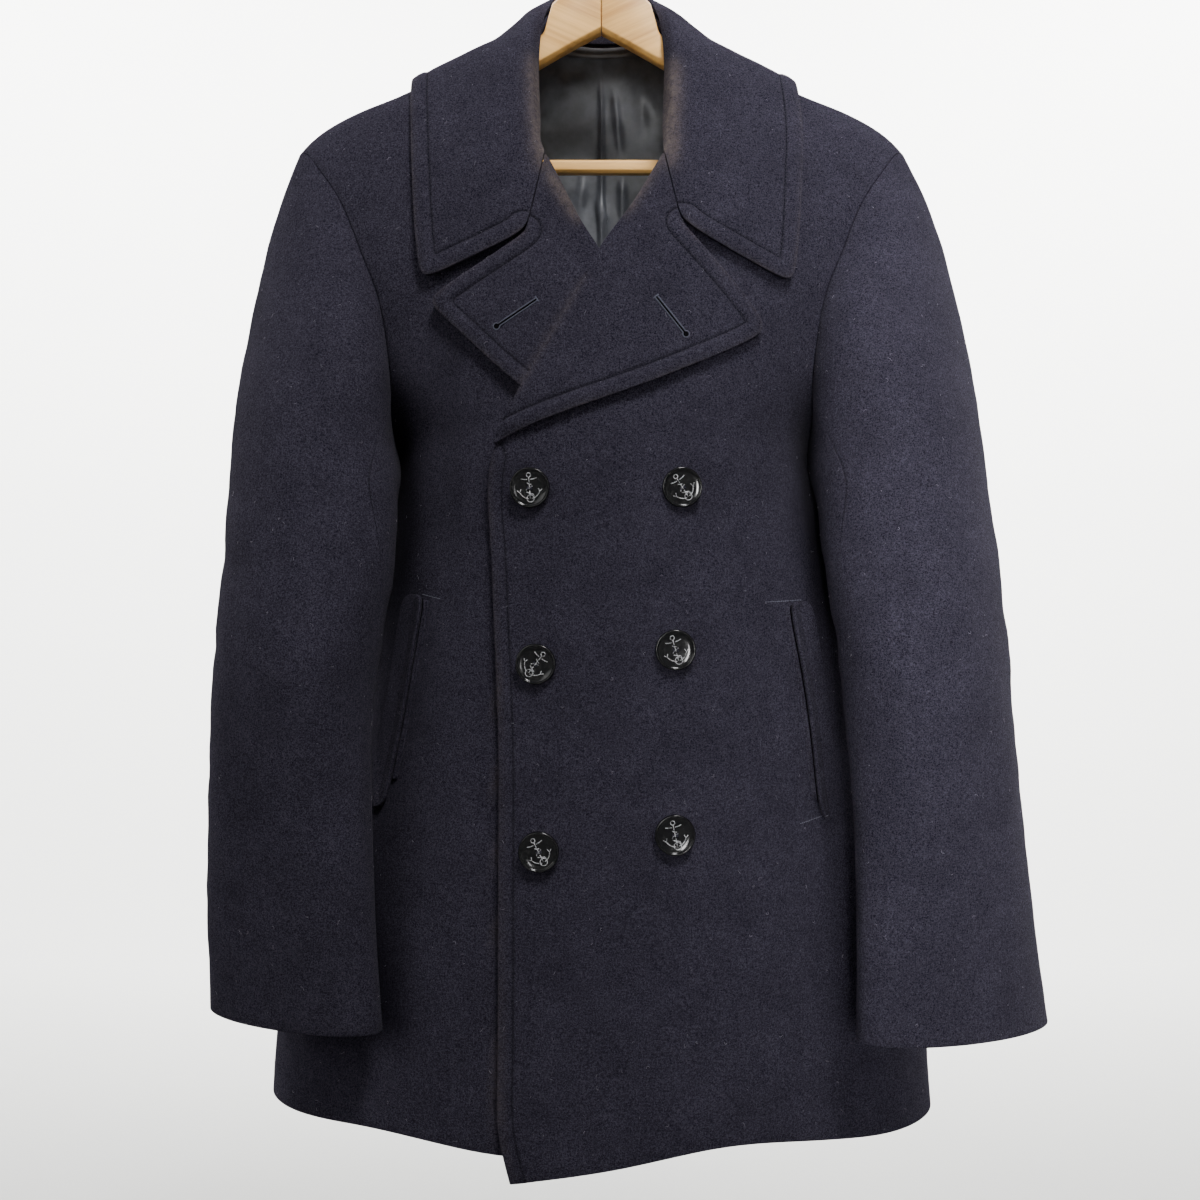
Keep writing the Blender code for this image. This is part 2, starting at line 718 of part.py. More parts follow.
def front_grid(edge, hem):
    """The front's points, with x outwards on its side."""
    even = np.linspace(0, 1, PANEL_COLUMNS + 1)
    dense = np.linspace(edge["down"][0], UNDERARM, 600)
    edge_x = smooth(dense, edge["down"], edge["x"])
    edge_over = over_of(edge_x, -dense, -1)
    edge_over[0] = seam_over(edge_x[0], -1)
    hole = armhole_curve(-1)
    rows = []
    for share in np.linspace(0, 1, ARMHOLE_ROWS + 1):
        start = crossing(share, edge_x, edge_over, -1)
        rows.append(row_points(share, start, crossing(share, *hole, -1), even, -1))
    for share in np.linspace(0, 1, BODY_ROWS + 1)[1:]:
        rows.append(
            lower_points(
                share,
                lambda z: smooth(-z, edge["down"], edge["x"]),
                lambda x: smooth(x, hem["x"], hem["down"]),
                even,
                -1,
            )
        )
    return np.array(rows)


def back_hem(side, x):
    """How far the back's hem is below the hook."""
    return blend(MIDDLE_HEM, SIDE_HEM[side], ease(x, 0, 0.2))


def back_grid(front, side):
    """The back's points on one side; along the shoulder they are the front's own."""
    picked = np.concatenate([NECK_COLUMNS, front[0, :, 0]])
    z = height_of(picked, seam_over(picked, 1))
    angle = np.arcsin(picked / section(z, "half_width"))
    first = (angle - angle[0]) / (angle[-1] - angle[0])
    even = np.linspace(0, 1, len(picked))
    hole = armhole_curve(1)
    rows = []
    for share in np.linspace(0, 1, ARMHOLE_ROWS + 1):
        fractions = blend(first, even, ease(share, 0, 0.8))
        rows.append(row_points(share, 0.0, crossing(share, *hole, 1), fractions, 1))
    for share in np.linspace(0, 1, BODY_ROWS + 1)[1:]:
        rows.append(lower_points(share, lambda z: 0.0 * z, lambda x: back_hem(side, x), even, 1))
    grid = np.array(rows)
    grid[0, len(NECK_COLUMNS) :] = front[0]
    grid[ARMHOLE_ROWS:, -1] = front[ARMHOLE_ROWS:, -1]
    return grid


# ---------------------------------------------------------------- the sleeves
def tube_ring(side, down, angles):
    """A level ring of the sleeve; x is outwards on this side, and the angles run forwards from the outside."""
    angles = angles + SEAM_TWIST * ease(down, *SEAM_TWISTS_FROM)
    row = {name: smooth(down, SLEEVES[side]["down"], SLEEVES[side][name]) for name in SLEEVES[side]}
    turn = math.radians(row["turn"])
    axis = np.array([math.cos(turn), math.sin(turn)])
    across = np.array([-axis[1], axis[0]])
    stretch = row["long"] * np.outer(axis, axis) + row["short"] * np.outer(across, across)
    ring = np.stack([np.cos(angles), -np.sin(angles)], axis=-1) @ stretch
    slant = ease(down, *SLEEVES[side]["down"][[-3, -1]]) * CUFF_RISE[side]
    level = slant * np.cos(angles) - down
    return np.column_stack([ring[:, 0] + row["x"], ring[:, 1] + row["y"], level])


def sleeve_grid(side, armhole):
    """The sleeve's points, from the armhole down to the cuff, and round from the shoulder by the front."""
    lengths = np.linalg.norm(armhole - np.roll(armhole, 1, axis=0), axis=1)
    along = np.cumsum(lengths) - lengths[0]
    whole = lengths.sum()
    half = ARMHOLE_ROWS
    front_angles = math.pi * along[: half + 1] / along[half]
    back_angles = math.pi * (1 + (along[half + 1 :] - along[half]) / (whole - along[half]))
    angles = np.concatenate([front_angles, back_angles])
    downs = SLEEVES[side]["down"]
    ring = tube_ring(side, downs[0], angles)
    next_ring = tube_ring(side, downs[0] + 0.02, angles)
    reach = ring - armhole
    length = np.linalg.norm(reach, axis=1, keepdims=True)
    puff = CAP_PUFF[side] * (0.55 * (1 + np.cos(angles)) + 0.75 * np.abs(np.sin(angles)))
    leave = reach * 0.9 + np.stack([np.cos(angles), -np.sin(angles), 0 * angles], -1) * puff[:, None]
    arrive = (next_ring - ring) / 0.02 * length
    rows = []
    for t in np.linspace(0, 1, SLEEVE_RISE_ROWS + 1):
        start = armhole * (1 + 2 * t) * (1 - t) ** 2 + leave * t * (1 - t) ** 2
        rows.append(start + ring * t * t * (3 - 2 * t) - arrive * t * t * (1 - t))
    for down in np.linspace(downs[0], downs[-1], BODY_ROWS)[1:]:
        rows.append(tube_ring(side, down, angles))
    grid = np.array(rows)
    return grid + sleeve_creases(grid, angles)


def sleeve_creases(grid, angles):
    """The sleeve's soft folds, which move its points in or out of the arm."""
    middle = grid.mean(axis=1, keepdims=True)
    out = (grid - middle) * (1, 1, 0)
    out = out / np.maximum(np.linalg.norm(out, axis=-1, keepdims=True), 1e-6)
    total = np.zeros(grid.shape[:2])
    for down, angle, length, width, height in zip(*SLEEVE_FOLDS.values()):
        aside = (np.degrees(angles) - angle + 180) % 360 - 180
        place = (-grid[..., 2] - down) / length
        total += height * np.exp(-(place**2)) * np.exp(-((aside / width) ** 2))[None, :]
    total[0] = 0
    total[1] *= 0.4
    return out * total[..., None]


# ---------------------------------------------------------------- the body, sewn and cut into its panels
def mirrored(points, side):
    return points * (side, 1, 1)


def side_name(side):
    return "right" if side == RIGHT else "left"


def vent_lap(points, side):
    """The back's middle edge below the vent: one side lies over the other."""
    z = points[..., 2]
    inner = 1 - ease(points[..., 0], 0.030, 0.080)
    moved = points.copy()
    if side == LEFT:
        moved[..., 0] -= VENT_LAP * ease(-z, VENT_TOP, VENT_TOP + 0.030) * inner
    lift = (MELTON + SEAM_GAP + REST_GAP) * ease(-z, VENT_TOP - 0.080, VENT_TOP - 0.005) * inner
    if side == RIGHT:
        moved[..., 1] += lift
    return moved


def seam_fade(points):
    """0 along a panel's shoulder, armhole and side, where folds would part the seams."""
    rows, columns = points.shape[:2]
    down = ease(np.arange(rows), 0, 3)[:, None]
    out = 1 - ease(np.arange(columns), columns - 4, columns - 1)[None, :]
    return down * out


def sewn_shell(side):
    """The front, back and sleeve of one side as (points, inward) grids, x outwards, sewn at their seams."""
    over = side == RIGHT
    front = front_grid(EDGE_OVER if over else EDGE_UNDER, HEM_OVER if over else HEM_UNDER)
    back = leaned(back_grid(front, side), side)
    front = leaned(front, side)
    armhole = np.concatenate([front[: ARMHOLE_ROWS + 1, -1], back[1:ARMHOLE_ROWS, -1][::-1]])
    sleeve = sleeve_grid(side, armhole)
    closed = np.concatenate([sleeve, sleeve[:, :1]], axis=1)
    front_in, back_in, sleeve_in = sewn_directions([(front, 1), (back, -1), (closed, -1)])
    back_in[:, 0, 0] = 0
    back_in[:, 0] /= np.linalg.norm(back_in[:, 0], axis=-1, keepdims=True)
    sleeve_in[:, 0] = sleeve_in[:, -1] = sleeve_in[:, 0] + sleeve_in[:, -1]
    sleeve_in /= np.linalg.norm(sleeve_in, axis=-1, keepdims=True)
    front_stand = stand_off(side, front[..., 0], front[..., 2]) * seam_fade(front)
    front = front - front_in * front_stand[..., None]
    back_stand = fold_height(back[..., 0] * side, back[..., 2], BACK_FOLDS) * seam_fade(back)
    back = back - back_in * back_stand[..., None]
    return {"front": (front, front_in), "back": (back, back_in), "sleeve": (sleeve, sleeve_in[:, :-1])}


def build_body(side, shell):
    """The panels of one side, each cut back at its seams."""
    round_arm = 2 * ARMHOLE_ROWS
    under = np.arange(FRONT_SEAM, BACK_SEAM + 1)
    outer = np.concatenate([np.arange(BACK_SEAM, round_arm), np.arange(FRONT_SEAM + 1)])
    back, back_in = shell["back"]
    sleeve, sleeve_in = shell["sleeve"]
    around = ("top", "first", "last")
    panels = (
        ("front_over" if side == RIGHT else "front_under", *shell["front"], ("top", "last")),
        ("back_" + side_name(side), vent_lap(back, side), back_in, around),
        ("top_sleeve_" + side_name(side), sleeve[:, outer], sleeve_in[:, outer], around),
        ("under_sleeve_" + side_name(side), sleeve[:, under], sleeve_in[:, under], around),
    )
    for name, points, inward, edges in panels:
        gap = SLEEVE_SEAM_GAP if "sleeve" in name else SEAM_GAP
        wall(name, mirrored(cut_back(points, edges, gap / 2), side), mirrored(inward, side), MELTON)


# ---------------------------------------------------------------- lapels and collar
def lapel_line(side, row, shares):
    """Points along one row of a lapel, from its roll to its edge."""
    lapel = LAPEL_OVER if side == RIGHT else LAPEL_UNDER
    x = blend(lapel["roll_x"][row], lapel["edge_x"][row], shares)
    down = blend(lapel["roll_down"][row], lapel["edge_down"][row], shares)
    return front_cloth(side, x, -down, LAPEL_REST + COLLAR_CLOTH)


def lapel_grid(side):
    """The lapel's outer face: rows from its break up to the gorge, columns from its roll to its edge."""
    return np.array([lapel_line(side, row, np.array(COLLAR_SHARES)) for row in range(len(LAPEL_OVER["roll_x"]))])


def clear_of_coat(points, side, gap):
    """The points, moved out from inside the shoulder where they are nearer than the gap to the coat."""
    for _ in range(5):
        x, y, z = np.moveaxis(points, -1, 0)
        side_y = section(z, "side_y")
        front = y < side_y
        arch = np.where(front, FRONT_ARCH, BACK_ARCH)
        share = np.clip(np.abs(x) / section(z, "half_width"), 0, 1)
        face_y = np.where(front, section(z, "front_y"), section(z, "back_y"))
        deep = np.abs(face_y - side_y) * (1 - share**SQUARENESS) ** (1 / SQUARENESS)
        away = np.stack([0 * x, y - side_y, np.maximum(z - crest(x) + arch, 0)], axis=-1)
        reach = np.linalg.norm(away, axis=-1)
        measure = np.hypot((y - side_y) / deep, away[..., 2] / arch)
        stand = gap + np.where(front, stand_off(side, x, z), 0)
        wanted = reach / measure + stand
        points = points + away * np.maximum(wanted / reach - 1, 0)[..., None]
    return points


def collar_side(side):
    """The collar's outer face on one side: its stations from the middle of the back to the gorge."""
    rows = np.arange(len(COLLAR["fold_x"]), dtype=float)
    edge_x = COLLAR["edge_x"] * blend(1.0, COLLAR_SPREAD[side], ease(rows, *COLLAR_SPREAD_ROWS))
    edge_z = height_of(edge_x, COLLAR["edge_over"])
    edge_y = depth_of(edge_x, edge_z, COLLAR["edge_over"])
    columns = (*(COLLAR[name] for name in ("fold_x", "fold_y", "fold_z", "crown")), edge_x, edge_y, edge_z)
    at = np.stack([smooth(np.array(COLLAR_STATIONS), rows, column) for column in columns], axis=-1)
    fold, crown, edge = at[:, :3], at[:, 3], at[:, 4:]
    share = np.array(COLLAR_SHARES)
    points = fold[:, None] + (edge - fold)[:, None] * share[None, :, None]
    bump = share / CROWN_AT * np.exp(1 - share / CROWN_AT)
    x, y, z = np.moveaxis(points, -1, 0)
    arch = np.where(y < section(z, "side_y"), FRONT_ARCH, BACK_ARCH)
    away = np.stack([0 * x, y - section(z, "side_y"), np.maximum(z - crest(x) + arch, 0)], axis=-1)
    away = away / np.linalg.norm(away, axis=-1, keepdims=True)
    points = points + away * (crown[:, None] * bump[None, :])[..., None]
    points[:, 1:] = clear_of_coat(points[:, 1:], side, COLLAR_REST + COLLAR_CLOTH)
    gorge = lapel_line(side, -1, share)
    return np.concatenate([mirrored(points, side), gorge[None]])


def build_collar():
    """The lapels and the collar's fall; returns the fold and its inward direction at each station of a side."""
    lapels = {side: lapel_grid(side) for side in (LEFT, RIGHT)}
    stations = np.concatenate([collar_side(LEFT)[::-1], collar_side(RIGHT)[1:]])
    fall = stations.transpose(1, 0, 2)
    left_in, right_in, fall_in = sewn_directions([(lapels[LEFT], 1), (lapels[RIGHT], -1), (fall, -1)])
    for side, here, inside in ((LEFT, 0, 1), (RIGHT, -1, -2)):
        step = fall[:, inside] - fall[:, here]
        step *= GORGE_GAP / 2 / np.linalg.norm(step, axis=-1, keepdims=True)
        fall[:, here] += step
        lapels[side][-1] -= step
    wall("lapel_under", lapels[LEFT], left_in, COLLAR_CLOTH)
    wall("lapel_over", lapels[RIGHT], right_in, COLLAR_CLOTH)
    wall("collar_fall", fall, fall_in, COLLAR_CLOTH)
    middle = len(COLLAR_STATIONS)
    return {
        RIGHT: np.array([fall[0, middle:], fall_in[0, middle:]]),
        LEFT: mirrored(np.array([fall[0, middle::-1], fall_in[0, middle::-1]]), LEFT),
    }


def stand_side(side, shell, fold):
    """The stand's two faces on one side, each as rows up from the neck seam; x is outwards."""
    front, front_in = shell["front"]
    back, back_in = shell["back"]
    width = len(NECK_COLUMNS)
    outer = np.concatenate([back[0, :width], front[STAND_FRONT_ROWS, 0]])
    inward = np.concatenate([back_in[0, :width], front_in[STAND_FRONT_ROWS, 0]])
    below = np.concatenate([back[1, :width], front[STAND_FRONT_ROWS, 1]])
    off = outer - below
    off = off / np.linalg.norm(off, axis=-1, keepdims=True) * (SEAM_GAP + REST_GAP / 2)
    under_fold = (fold[0] + fold[1] * (COLLAR_CLOTH + STAND_GAP))[: len(COLLAR_STATIONS)]
    high_outer = np.stack([np.interp(STAND_AT_COLLAR, COLLAR_STATIONS, axis) for axis in under_fold.T], axis=-1)
    low_inner = outer + inward * MELTON + off
    low_outer = outer + off
    along = np.gradient(low_outer, axis=0)
    along[0] = (1, 0, 0)
    away = np.cross(along, (0, 0, 1)) * (1, 1, 0)
    away = away / np.linalg.norm(away, axis=-1, keepdims=True)
    high_inner = high_outer + away * MELTON
    shares = np.linspace(0, 1, STAND_ROWS)[:, None, None]
    return blend(low_outer, high_outer, shares), blend(low_inner, high_inner, shares)


def build_stand(shells, folds):
    faces = {side: stand_side(side, shells[side], folds[side]) for side in (LEFT, RIGHT)}
    joined = []
    for left, right in zip(faces[LEFT], faces[RIGHT]):
        joined.append(np.concatenate([mirrored(left, LEFT)[:, ::-1], right[:, 1:]], axis=1))
    wall_between("collar_stand", *joined, "melton_wool")


# ---------------------------------------------------------------- welts, lining and loop
def build_welt(side):
    welt = WELTS[side]
    share = np.linspace(0, 1, WELT_ROWS)
    line = blend(np.array(welt["top"]), np.array(welt["bottom"]), share[:, None])
    width = blend(*welt["width"], share)
    x = line[:, :1] + width[:, None] * np.linspace(0, 1, 3)
    points = front_cloth(side, x, -line[:, 1:] + 0 * x, WELT_GAP + WELT_CLOTH)
    inward = mirrored(inward_of(mirrored(points, side), 1), side)
    wall("welt_" + side_name(side), points, inward, WELT_CLOTH)


def lining_points(shells):
    """The lining's face towards the back: rows down the coat, columns from the left side to the right."""
    halves = []
    for side in (LEFT, RIGHT):
        points, inward = shells[side]["back"]
        picked = np.ix_(LINING_ROWS, LINING_COLUMNS)
        points, inward = points[picked], inward[picked]
        depth = blend(LINING_DEPTH[0], LINING_DEPTH[1], ease(np.arange(len(points)), 0, 2))[:, None, None]
        points = points + inward * depth
        near, far = points[:, :1], points[:, 1:2]
        extra = [blend(near, far, share) for share in PLEAT_COLUMNS]
        points = np.concatenate([points[:, :1], *extra, points[:, 1:]], axis=1)
        points[:, 0, 1] -= PLEAT_HEIGHT * ease(np.arange(len(points)), 0.5, 2)
        points[:, -1, 0] -= LINING_SIDE_GAP
        halves.append(mirrored(points, side))
    return np.concatenate([halves[0][:, ::-1], halves[1][:, 1:]], axis=1)


def build_lining(shells):
    points = lining_points(shells)
    points[0] = blend(points[0], points[1], LINING_TOP_SHARE)
    wall("lining_back", points, inward_of(points, -1), LINING_CLOTH, "satin_lining")


def build_loop(shells):
    """The hang loop: a band across the lining, just under the neck seam."""
    x = np.array(sorted({-x for x in LOOP_X} | set(LOOP_X)))
    top, below = lining_points(shells)[:2]
    rows = []
    for share in LOOP_ROWS:
        line = blend(top, below, share)
        rows.append(np.stack([x, np.interp(x, line[:, 0], line[:, 1]), np.interp(x, line[:, 0], line[:, 2])], -1))
    points = np.array(rows)
    inward = inward_of(points, -1)
    wall("hang_loop", points + inward * (LINING_CLOTH + LOOP_GAP), inward, LOOP_CLOTH, "satin_lining")


# ---------------------------------------------------------------- buttons
def build_button(name, x, down, turn):
    """A turned button with a raised rim, on the over front's own slope."""
    step = BUTTON_RADIUS
    rim = np.linspace(0, 2 * math.pi, 16, endpoint=False)
    middle = front_cloth(RIGHT, x, -down)
    across = front_cloth(RIGHT, x + step, -down) - front_cloth(RIGHT, x - step, -down)
    upward = front_cloth(RIGHT, x, -down + step) - front_cloth(RIGHT, x, -down - step)
    across = across / np.linalg.norm(across)
    out = np.cross(across, upward)
    out = out / np.linalg.norm(out)
    upward = np.cross(out, across)
    under = front_cloth(RIGHT, x + BUTTON_RADIUS * np.cos(rim), -down + BUTTON_RADIUS * np.sin(rim))
    highest = max(((under - middle) @ out).max(), 0)
    bm = bmesh.new()
    verts = [bm.verts.new((r, 0, h)) for r, h in BUTTON_PROFILE]
    edges = [bm.edges.new(pair) for pair in zip(verts, verts[1:])]
    bmesh.ops.spin(
        bm, geom=verts + edges, cent=(0, 0, 0), axis=(0, 0, 1), angle=2 * math.pi, steps=20, use_merge=True
    )
    bmesh.ops.remove_doubles(bm, verts=bm.verts, dist=1e-6)
    turned = Matrix.Rotation(math.radians(turn), 4, "Z")
    bmesh.ops.transform(bm, matrix=turned, verts=bm.verts)
    obj = piece(name, mesh_of(name, bm), "black_button")
    basis = Matrix((across, upward, out)).transposed().to_4x4()
    place = middle + out * (highest + BUTTON_SHANK)
    obj.matrix_world = Matrix.Translation(place) @ basis
    return obj


# ---------------------------------------------------------------- the hanger
def octagon(half_y, low, high, cut):
    """The corners of a chamfered rectangle, as (y, z)."""
    ys = (-half_y, -half_y + cut, half_y - cut, half_y)
    zs = (low, low + cut, high - cut, high)
    return [
        (ys[1], zs[0]),
        (ys[2], zs[0]),
        (ys[3], zs[1]),
        (ys[3], zs[2]),
        (ys[2], zs[3]),
        (ys[1], zs[3]),
        (ys[0], zs[2]),
        (ys[0], zs[1]),
    ]


def build_arm(side):
    bm = bmesh.new()
    rings = []
    for out, top, bottom, half in zip(*HANGER_ARM.values()):
        cut = min(HANGER_BEVEL, (bottom - top) * 0.3)
        rings.append([bm.verts.new((out * side, y, z)) for y, z in octagon(half, -bottom, -top, cut)])
    for near, far in zip(rings, rings[1:]):
        for k in range(8):
            bm.faces.new((near[k - 1], near[k], far[k], far[k - 1]))
    bm.faces.new(rings[0])
    bm.faces.new(rings[-1])
    return piece("hanger_arm_" + side_name(side), mesh_of("hanger_arm", bm), "pale_wood")


def build_bar():
    bm = bmesh.new()
    corners = octagon(BAR_HALF_SIDE, -BAR_DOWN - BAR_HALF_SIDE, -BAR_DOWN + BAR_HALF_SIDE, BAR_CHAMFER)
    ends = []
    for x in (-BAR_HALF_LENGTH, BAR_HALF_LENGTH):
        ends.append([bm.verts.new((x, y, z)) for y, z in corners])
    for k in range(8):
        bm.faces.new((ends[0][k - 1], ends[0][k], ends[1][k], ends[1][k - 1]))
    bm.faces.new(ends[0])
    bm.faces.new(ends[1])
    return piece("hanger_bar", mesh_of("hanger_bar", bm), "pale_wood")


def hook_path():
    """The wire's middle line: up from the arms, round over the rail, and a short way up again at the tip."""
    middle_z = -HOOK_RADIUS + HOOK_WIRE
    start = math.radians(HOOK_FROM)
    sweep = np.radians(np.linspace(HOOK_FROM, HOOK_TO, 19))
    arc = [(HOOK_RADIUS * math.cos(a), middle_z + HOOK_RADIUS * math.sin(a)) for a in sweep]
    foot = np.array((0.0, HOOK_BEND_Z))
    first = np.array(arc[0])
    pull = np.linalg.norm(first - foot)
    leave = np.array((0.0, 1.0)) * pull
    arrive = np.array((-math.sin(start), math.cos(start))) * pull
    bend = []
    for t in (0.0, 0.2, 0.4, 0.6, 0.8):
        here = foot * (1 + 2 * t) * (1 - t) ** 2 + leave * t * (1 - t) ** 2
        bend.append(here + first * t * t * (3 - 2 * t) - arrive * t * t * (1 - t))
    return [(0.0, HOOK_FOOT_Z), *bend, *arc]


def build_hook():
    curve = bpy.data.curves.new("hanger_hook", "CURVE")
    curve.dimensions = "3D"
    curve.bevel_depth = HOOK_WIRE
    curve.bevel_resolution = 2
    curve.use_fill_caps = True
    path = hook_path()
    spline = curve.splines.new("POLY")
    spline.points.add(len(path) - 1)
    for point, (x, z) in zip(spline.points, path):
        point.co = (x, 0, z, 1)
    curve.materials.append(finish_of("hook_steel"))
    obj = bpy.data.objects.new("hanger_hook", curve)
    bpy.context.scene.collection.objects.link(obj)
    return obj


# ---------------------------------------------------------------- building
def clear_scene():
    for obj in list(bpy.data.objects):
        bpy.data.objects.remove(obj, do_unlink=True)


def main():
    clear_scene()
    shells = {side: sewn_shell(side) for side in (RIGHT, LEFT)}
    for side in (RIGHT, LEFT):
        build_body(side, shells[side])
        build_welt(side)
        build_arm(side)
    folds = build_collar()
    build_stand(shells, folds)
    build_lining(shells)
    build_loop(shells)
    for number, row in enumerate(zip(*BUTTONS.values()), start=1):
        build_button(f"button_{number}", *row)
    build_bar()
    build_hook()


main()
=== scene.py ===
import math
import random
from collections import namedtuple

import bmesh
import bpy
import numpy as np
from bpy.props import FloatProperty, FloatVectorProperty, IntProperty, PointerProperty
from mathutils import Matrix, Vector, noise
from mathutils.bvhtree import BVHTree
from mathutils.kdtree import KDTree


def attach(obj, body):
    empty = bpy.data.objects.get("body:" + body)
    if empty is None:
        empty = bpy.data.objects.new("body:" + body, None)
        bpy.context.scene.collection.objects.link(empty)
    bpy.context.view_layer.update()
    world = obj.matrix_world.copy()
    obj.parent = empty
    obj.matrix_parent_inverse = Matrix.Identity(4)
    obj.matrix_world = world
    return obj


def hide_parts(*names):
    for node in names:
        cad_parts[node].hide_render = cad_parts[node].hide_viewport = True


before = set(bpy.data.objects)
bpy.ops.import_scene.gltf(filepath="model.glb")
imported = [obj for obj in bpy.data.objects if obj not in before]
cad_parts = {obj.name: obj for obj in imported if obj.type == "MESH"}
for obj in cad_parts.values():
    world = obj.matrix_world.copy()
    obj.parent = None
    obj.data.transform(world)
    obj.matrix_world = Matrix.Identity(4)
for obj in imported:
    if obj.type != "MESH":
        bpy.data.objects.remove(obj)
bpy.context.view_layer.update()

bl_info = {
    "name": "Hanging pea coat",
    "version": (1, 0, 0),
    "blender": (4, 5, 0),
    "location": "View3D > Sidebar > Pea coat",
    "description": "Dresses a double-breasted wool coat on its wooden hanger",
    "category": "Object",
}

MADE = {}  # cut and softened sheets that later steps need, by name
STITCH_LINES = []  # points and normals of each topstitched line

# How cloth is made up: its thickness, how exactly the CAD wall holds that, subdivisions, the radius of its
# rounded edges, its finish, and how it hangs.
Wall = namedtuple("Wall", "thickness exactness levels radius slot held")
SINGLE = Wall(0.003, 4e-6, 2, 0.0011, "melton_wool", "hung")
DOUBLE = Wall(0.0045, 4e-6, 3, 0.0018, "melton_wool", "folded")
STAND = Wall(0.003, 6e-4, 2, 0.0008, "melton_wool", "folded")
WELT = Wall(0.003, 4e-6, 3, 0.0012, "melton_wool", "folded")
SATIN = Wall(0.0012, 4e-6, 3, 0.0003, "satin_lining", "hung")
LOOP = Wall(0.0016, 3e-4, 3, 0.0006, "satin_lining", "folded")
# Cloth pieces: the way the visible face looks, the make-up, and the width and length of the cut.
CLOTH = {
    "front_over": ((0, -1, 0), SINGLE, (0.330, 0.860)),
    "front_under": ((0, -1, 0), SINGLE, (0.320, 0.850)),
    "back_left": ((0, 1, 0), SINGLE, (0.265, 0.855)),
    "back_right": ((0, 1, 0), SINGLE, (0.265, 0.860)),
    "top_sleeve_left": ((-1, 0, 0), SINGLE, (0.260, 0.680)),
    "top_sleeve_right": ((1, 0, 0), SINGLE, (0.270, 0.690)),
    "under_sleeve_left": ((1, 0, 0), SINGLE, (0.140, 0.520)),
    "under_sleeve_right": ((-1, 0, 0), SINGLE, (0.145, 0.530)),
    "lapel_over": ((0, -1, 0), DOUBLE, (0.100, 0.205)),
    "lapel_under": ((0, -1, 0), DOUBLE, (0.100, 0.225)),
    "collar_fall": ((0, -0.3, 1), DOUBLE, (0.130, 0.640)),
    "collar_stand": ((0, -1, 0), STAND, (0.030, 0.190)),
    "welt_left": ((-0.5, -1, 0), WELT, (0.017, 0.165)),
    "welt_right": ((0.5, -1, 0), WELT, (0.017, 0.165)),
    "lining_back": ((0, -1, 0), SATIN, (0.460, 0.780)),
    "hang_loop": ((0, -1, 0), LOOP, (0.010, 0.066)),
}
# Height of each piece's uneven hang; the sleeves and the rest have their own.
UNEVEN = {"collar_fall": 0.0006, "lining_back": 0.0022}
UNEVEN.update(dict.fromkeys(("lapel_over", "lapel_under"), 0.0005))
UNEVEN.update(dict.fromkeys(("welt_left", "welt_right", "hang_loop", "collar_stand"), 0.0002))
UNEVEN_SLEEVE, UNEVEN_REST = 0.0006, 0.0009
# Sewn edges: piece, one end, a point it passes, the other end, and the topstitching's distance inside it.
TOPSTITCHED = [
    ("collar_fall", (-0.053, -0.067, -0.281), (0.0, 0.080, -0.150), (0.0545, -0.078, -0.279), 0.0128),
    ("lapel_over", (0.0545, -0.078, -0.280), (0.111, -0.090, -0.350), (-0.0690, -0.090, -0.4345), 0.0115),
    ("lapel_under", (-0.053, -0.067, -0.282), (-0.119, -0.080, -0.330), (0.0520, -0.085, -0.452), 0.0115),
    ("front_over", (-0.0725, -0.090, -0.440), (-0.072, -0.093, -0.700), (-0.0630, -0.093, -0.943), 0.0108),
]
# Rows of stitches across the pockets' ends: first x and z, last x and z.
STITCHED_ROWS = [
    ((0.1158, -0.5434), (0.1447, -0.5420)),
    ((0.1412, -0.7011), (0.1630, -0.6969)),
    ((-0.1299, -0.5378), (-0.1151, -0.5413)),
]
# Buttonholes: piece, the plain end's x and z, and the eyelet's.
BUTTONHOLES = [
    ("lapel_under", (-0.0451, -0.3317), (-0.0735, -0.3505)),
    ("lapel_over", (0.0374, -0.3328), (0.0580, -0.3590)),
]
# Faded cloth: two ends of a patch in front view, its radius and strength.
WORN = [
    (-0.0480, -0.1450, -0.0420, -0.2300, 0.0075, 0.80),
    (0.0510, -0.1500, 0.0475, -0.2300, 0.0075, 0.75),
    (-0.0370, -0.2380, -0.0160, -0.2720, 0.0055, 0.65),
    (0.0431, -0.2230, 0.0165, -0.2700, 0.0050, 0.60),
    (-0.0300, -0.1200, -0.0440, -0.1500, 0.0060, 0.30),
    (-0.0120, -0.3180, -0.0600, -0.4000, 0.0030, 0.20),
    (-0.0725, -0.5600, -0.0715, -0.9300, 0.0016, 0.22),
]
# Soft creases: two ends in front view, width and height of the ridge.
FRONT_CREASES = [
    (0.040, -0.485, -0.026, -0.612, 0.012, 0.0011),
    (0.052, -0.500, -0.006, -0.640, 0.014, -0.0010),
    (0.014, -0.560, -0.032, -0.690, 0.011, 0.0009),
    (-0.026, -0.682, -0.058, -0.752, 0.010, 0.0010),
    (0.008, -0.700, -0.040, -0.830, 0.012, 0.0008),
    (0.110, -0.380, 0.098, -0.520, 0.009, -0.0010),
    (0.090, -0.360, 0.084, -0.470, 0.008, 0.0008),
    (-0.112, -0.355, -0.114, -0.540, 0.008, -0.0010),
    (-0.096, -0.380, -0.094, -0.520, 0.009, 0.0008),
    (0.125, -0.720, 0.100, -0.900, 0.014, 0.0010),
    (-0.100, -0.600, -0.110, -0.860, 0.012, 0.0010),
    (0.030, -0.820, 0.050, -0.930, 0.014, -0.0009),
]
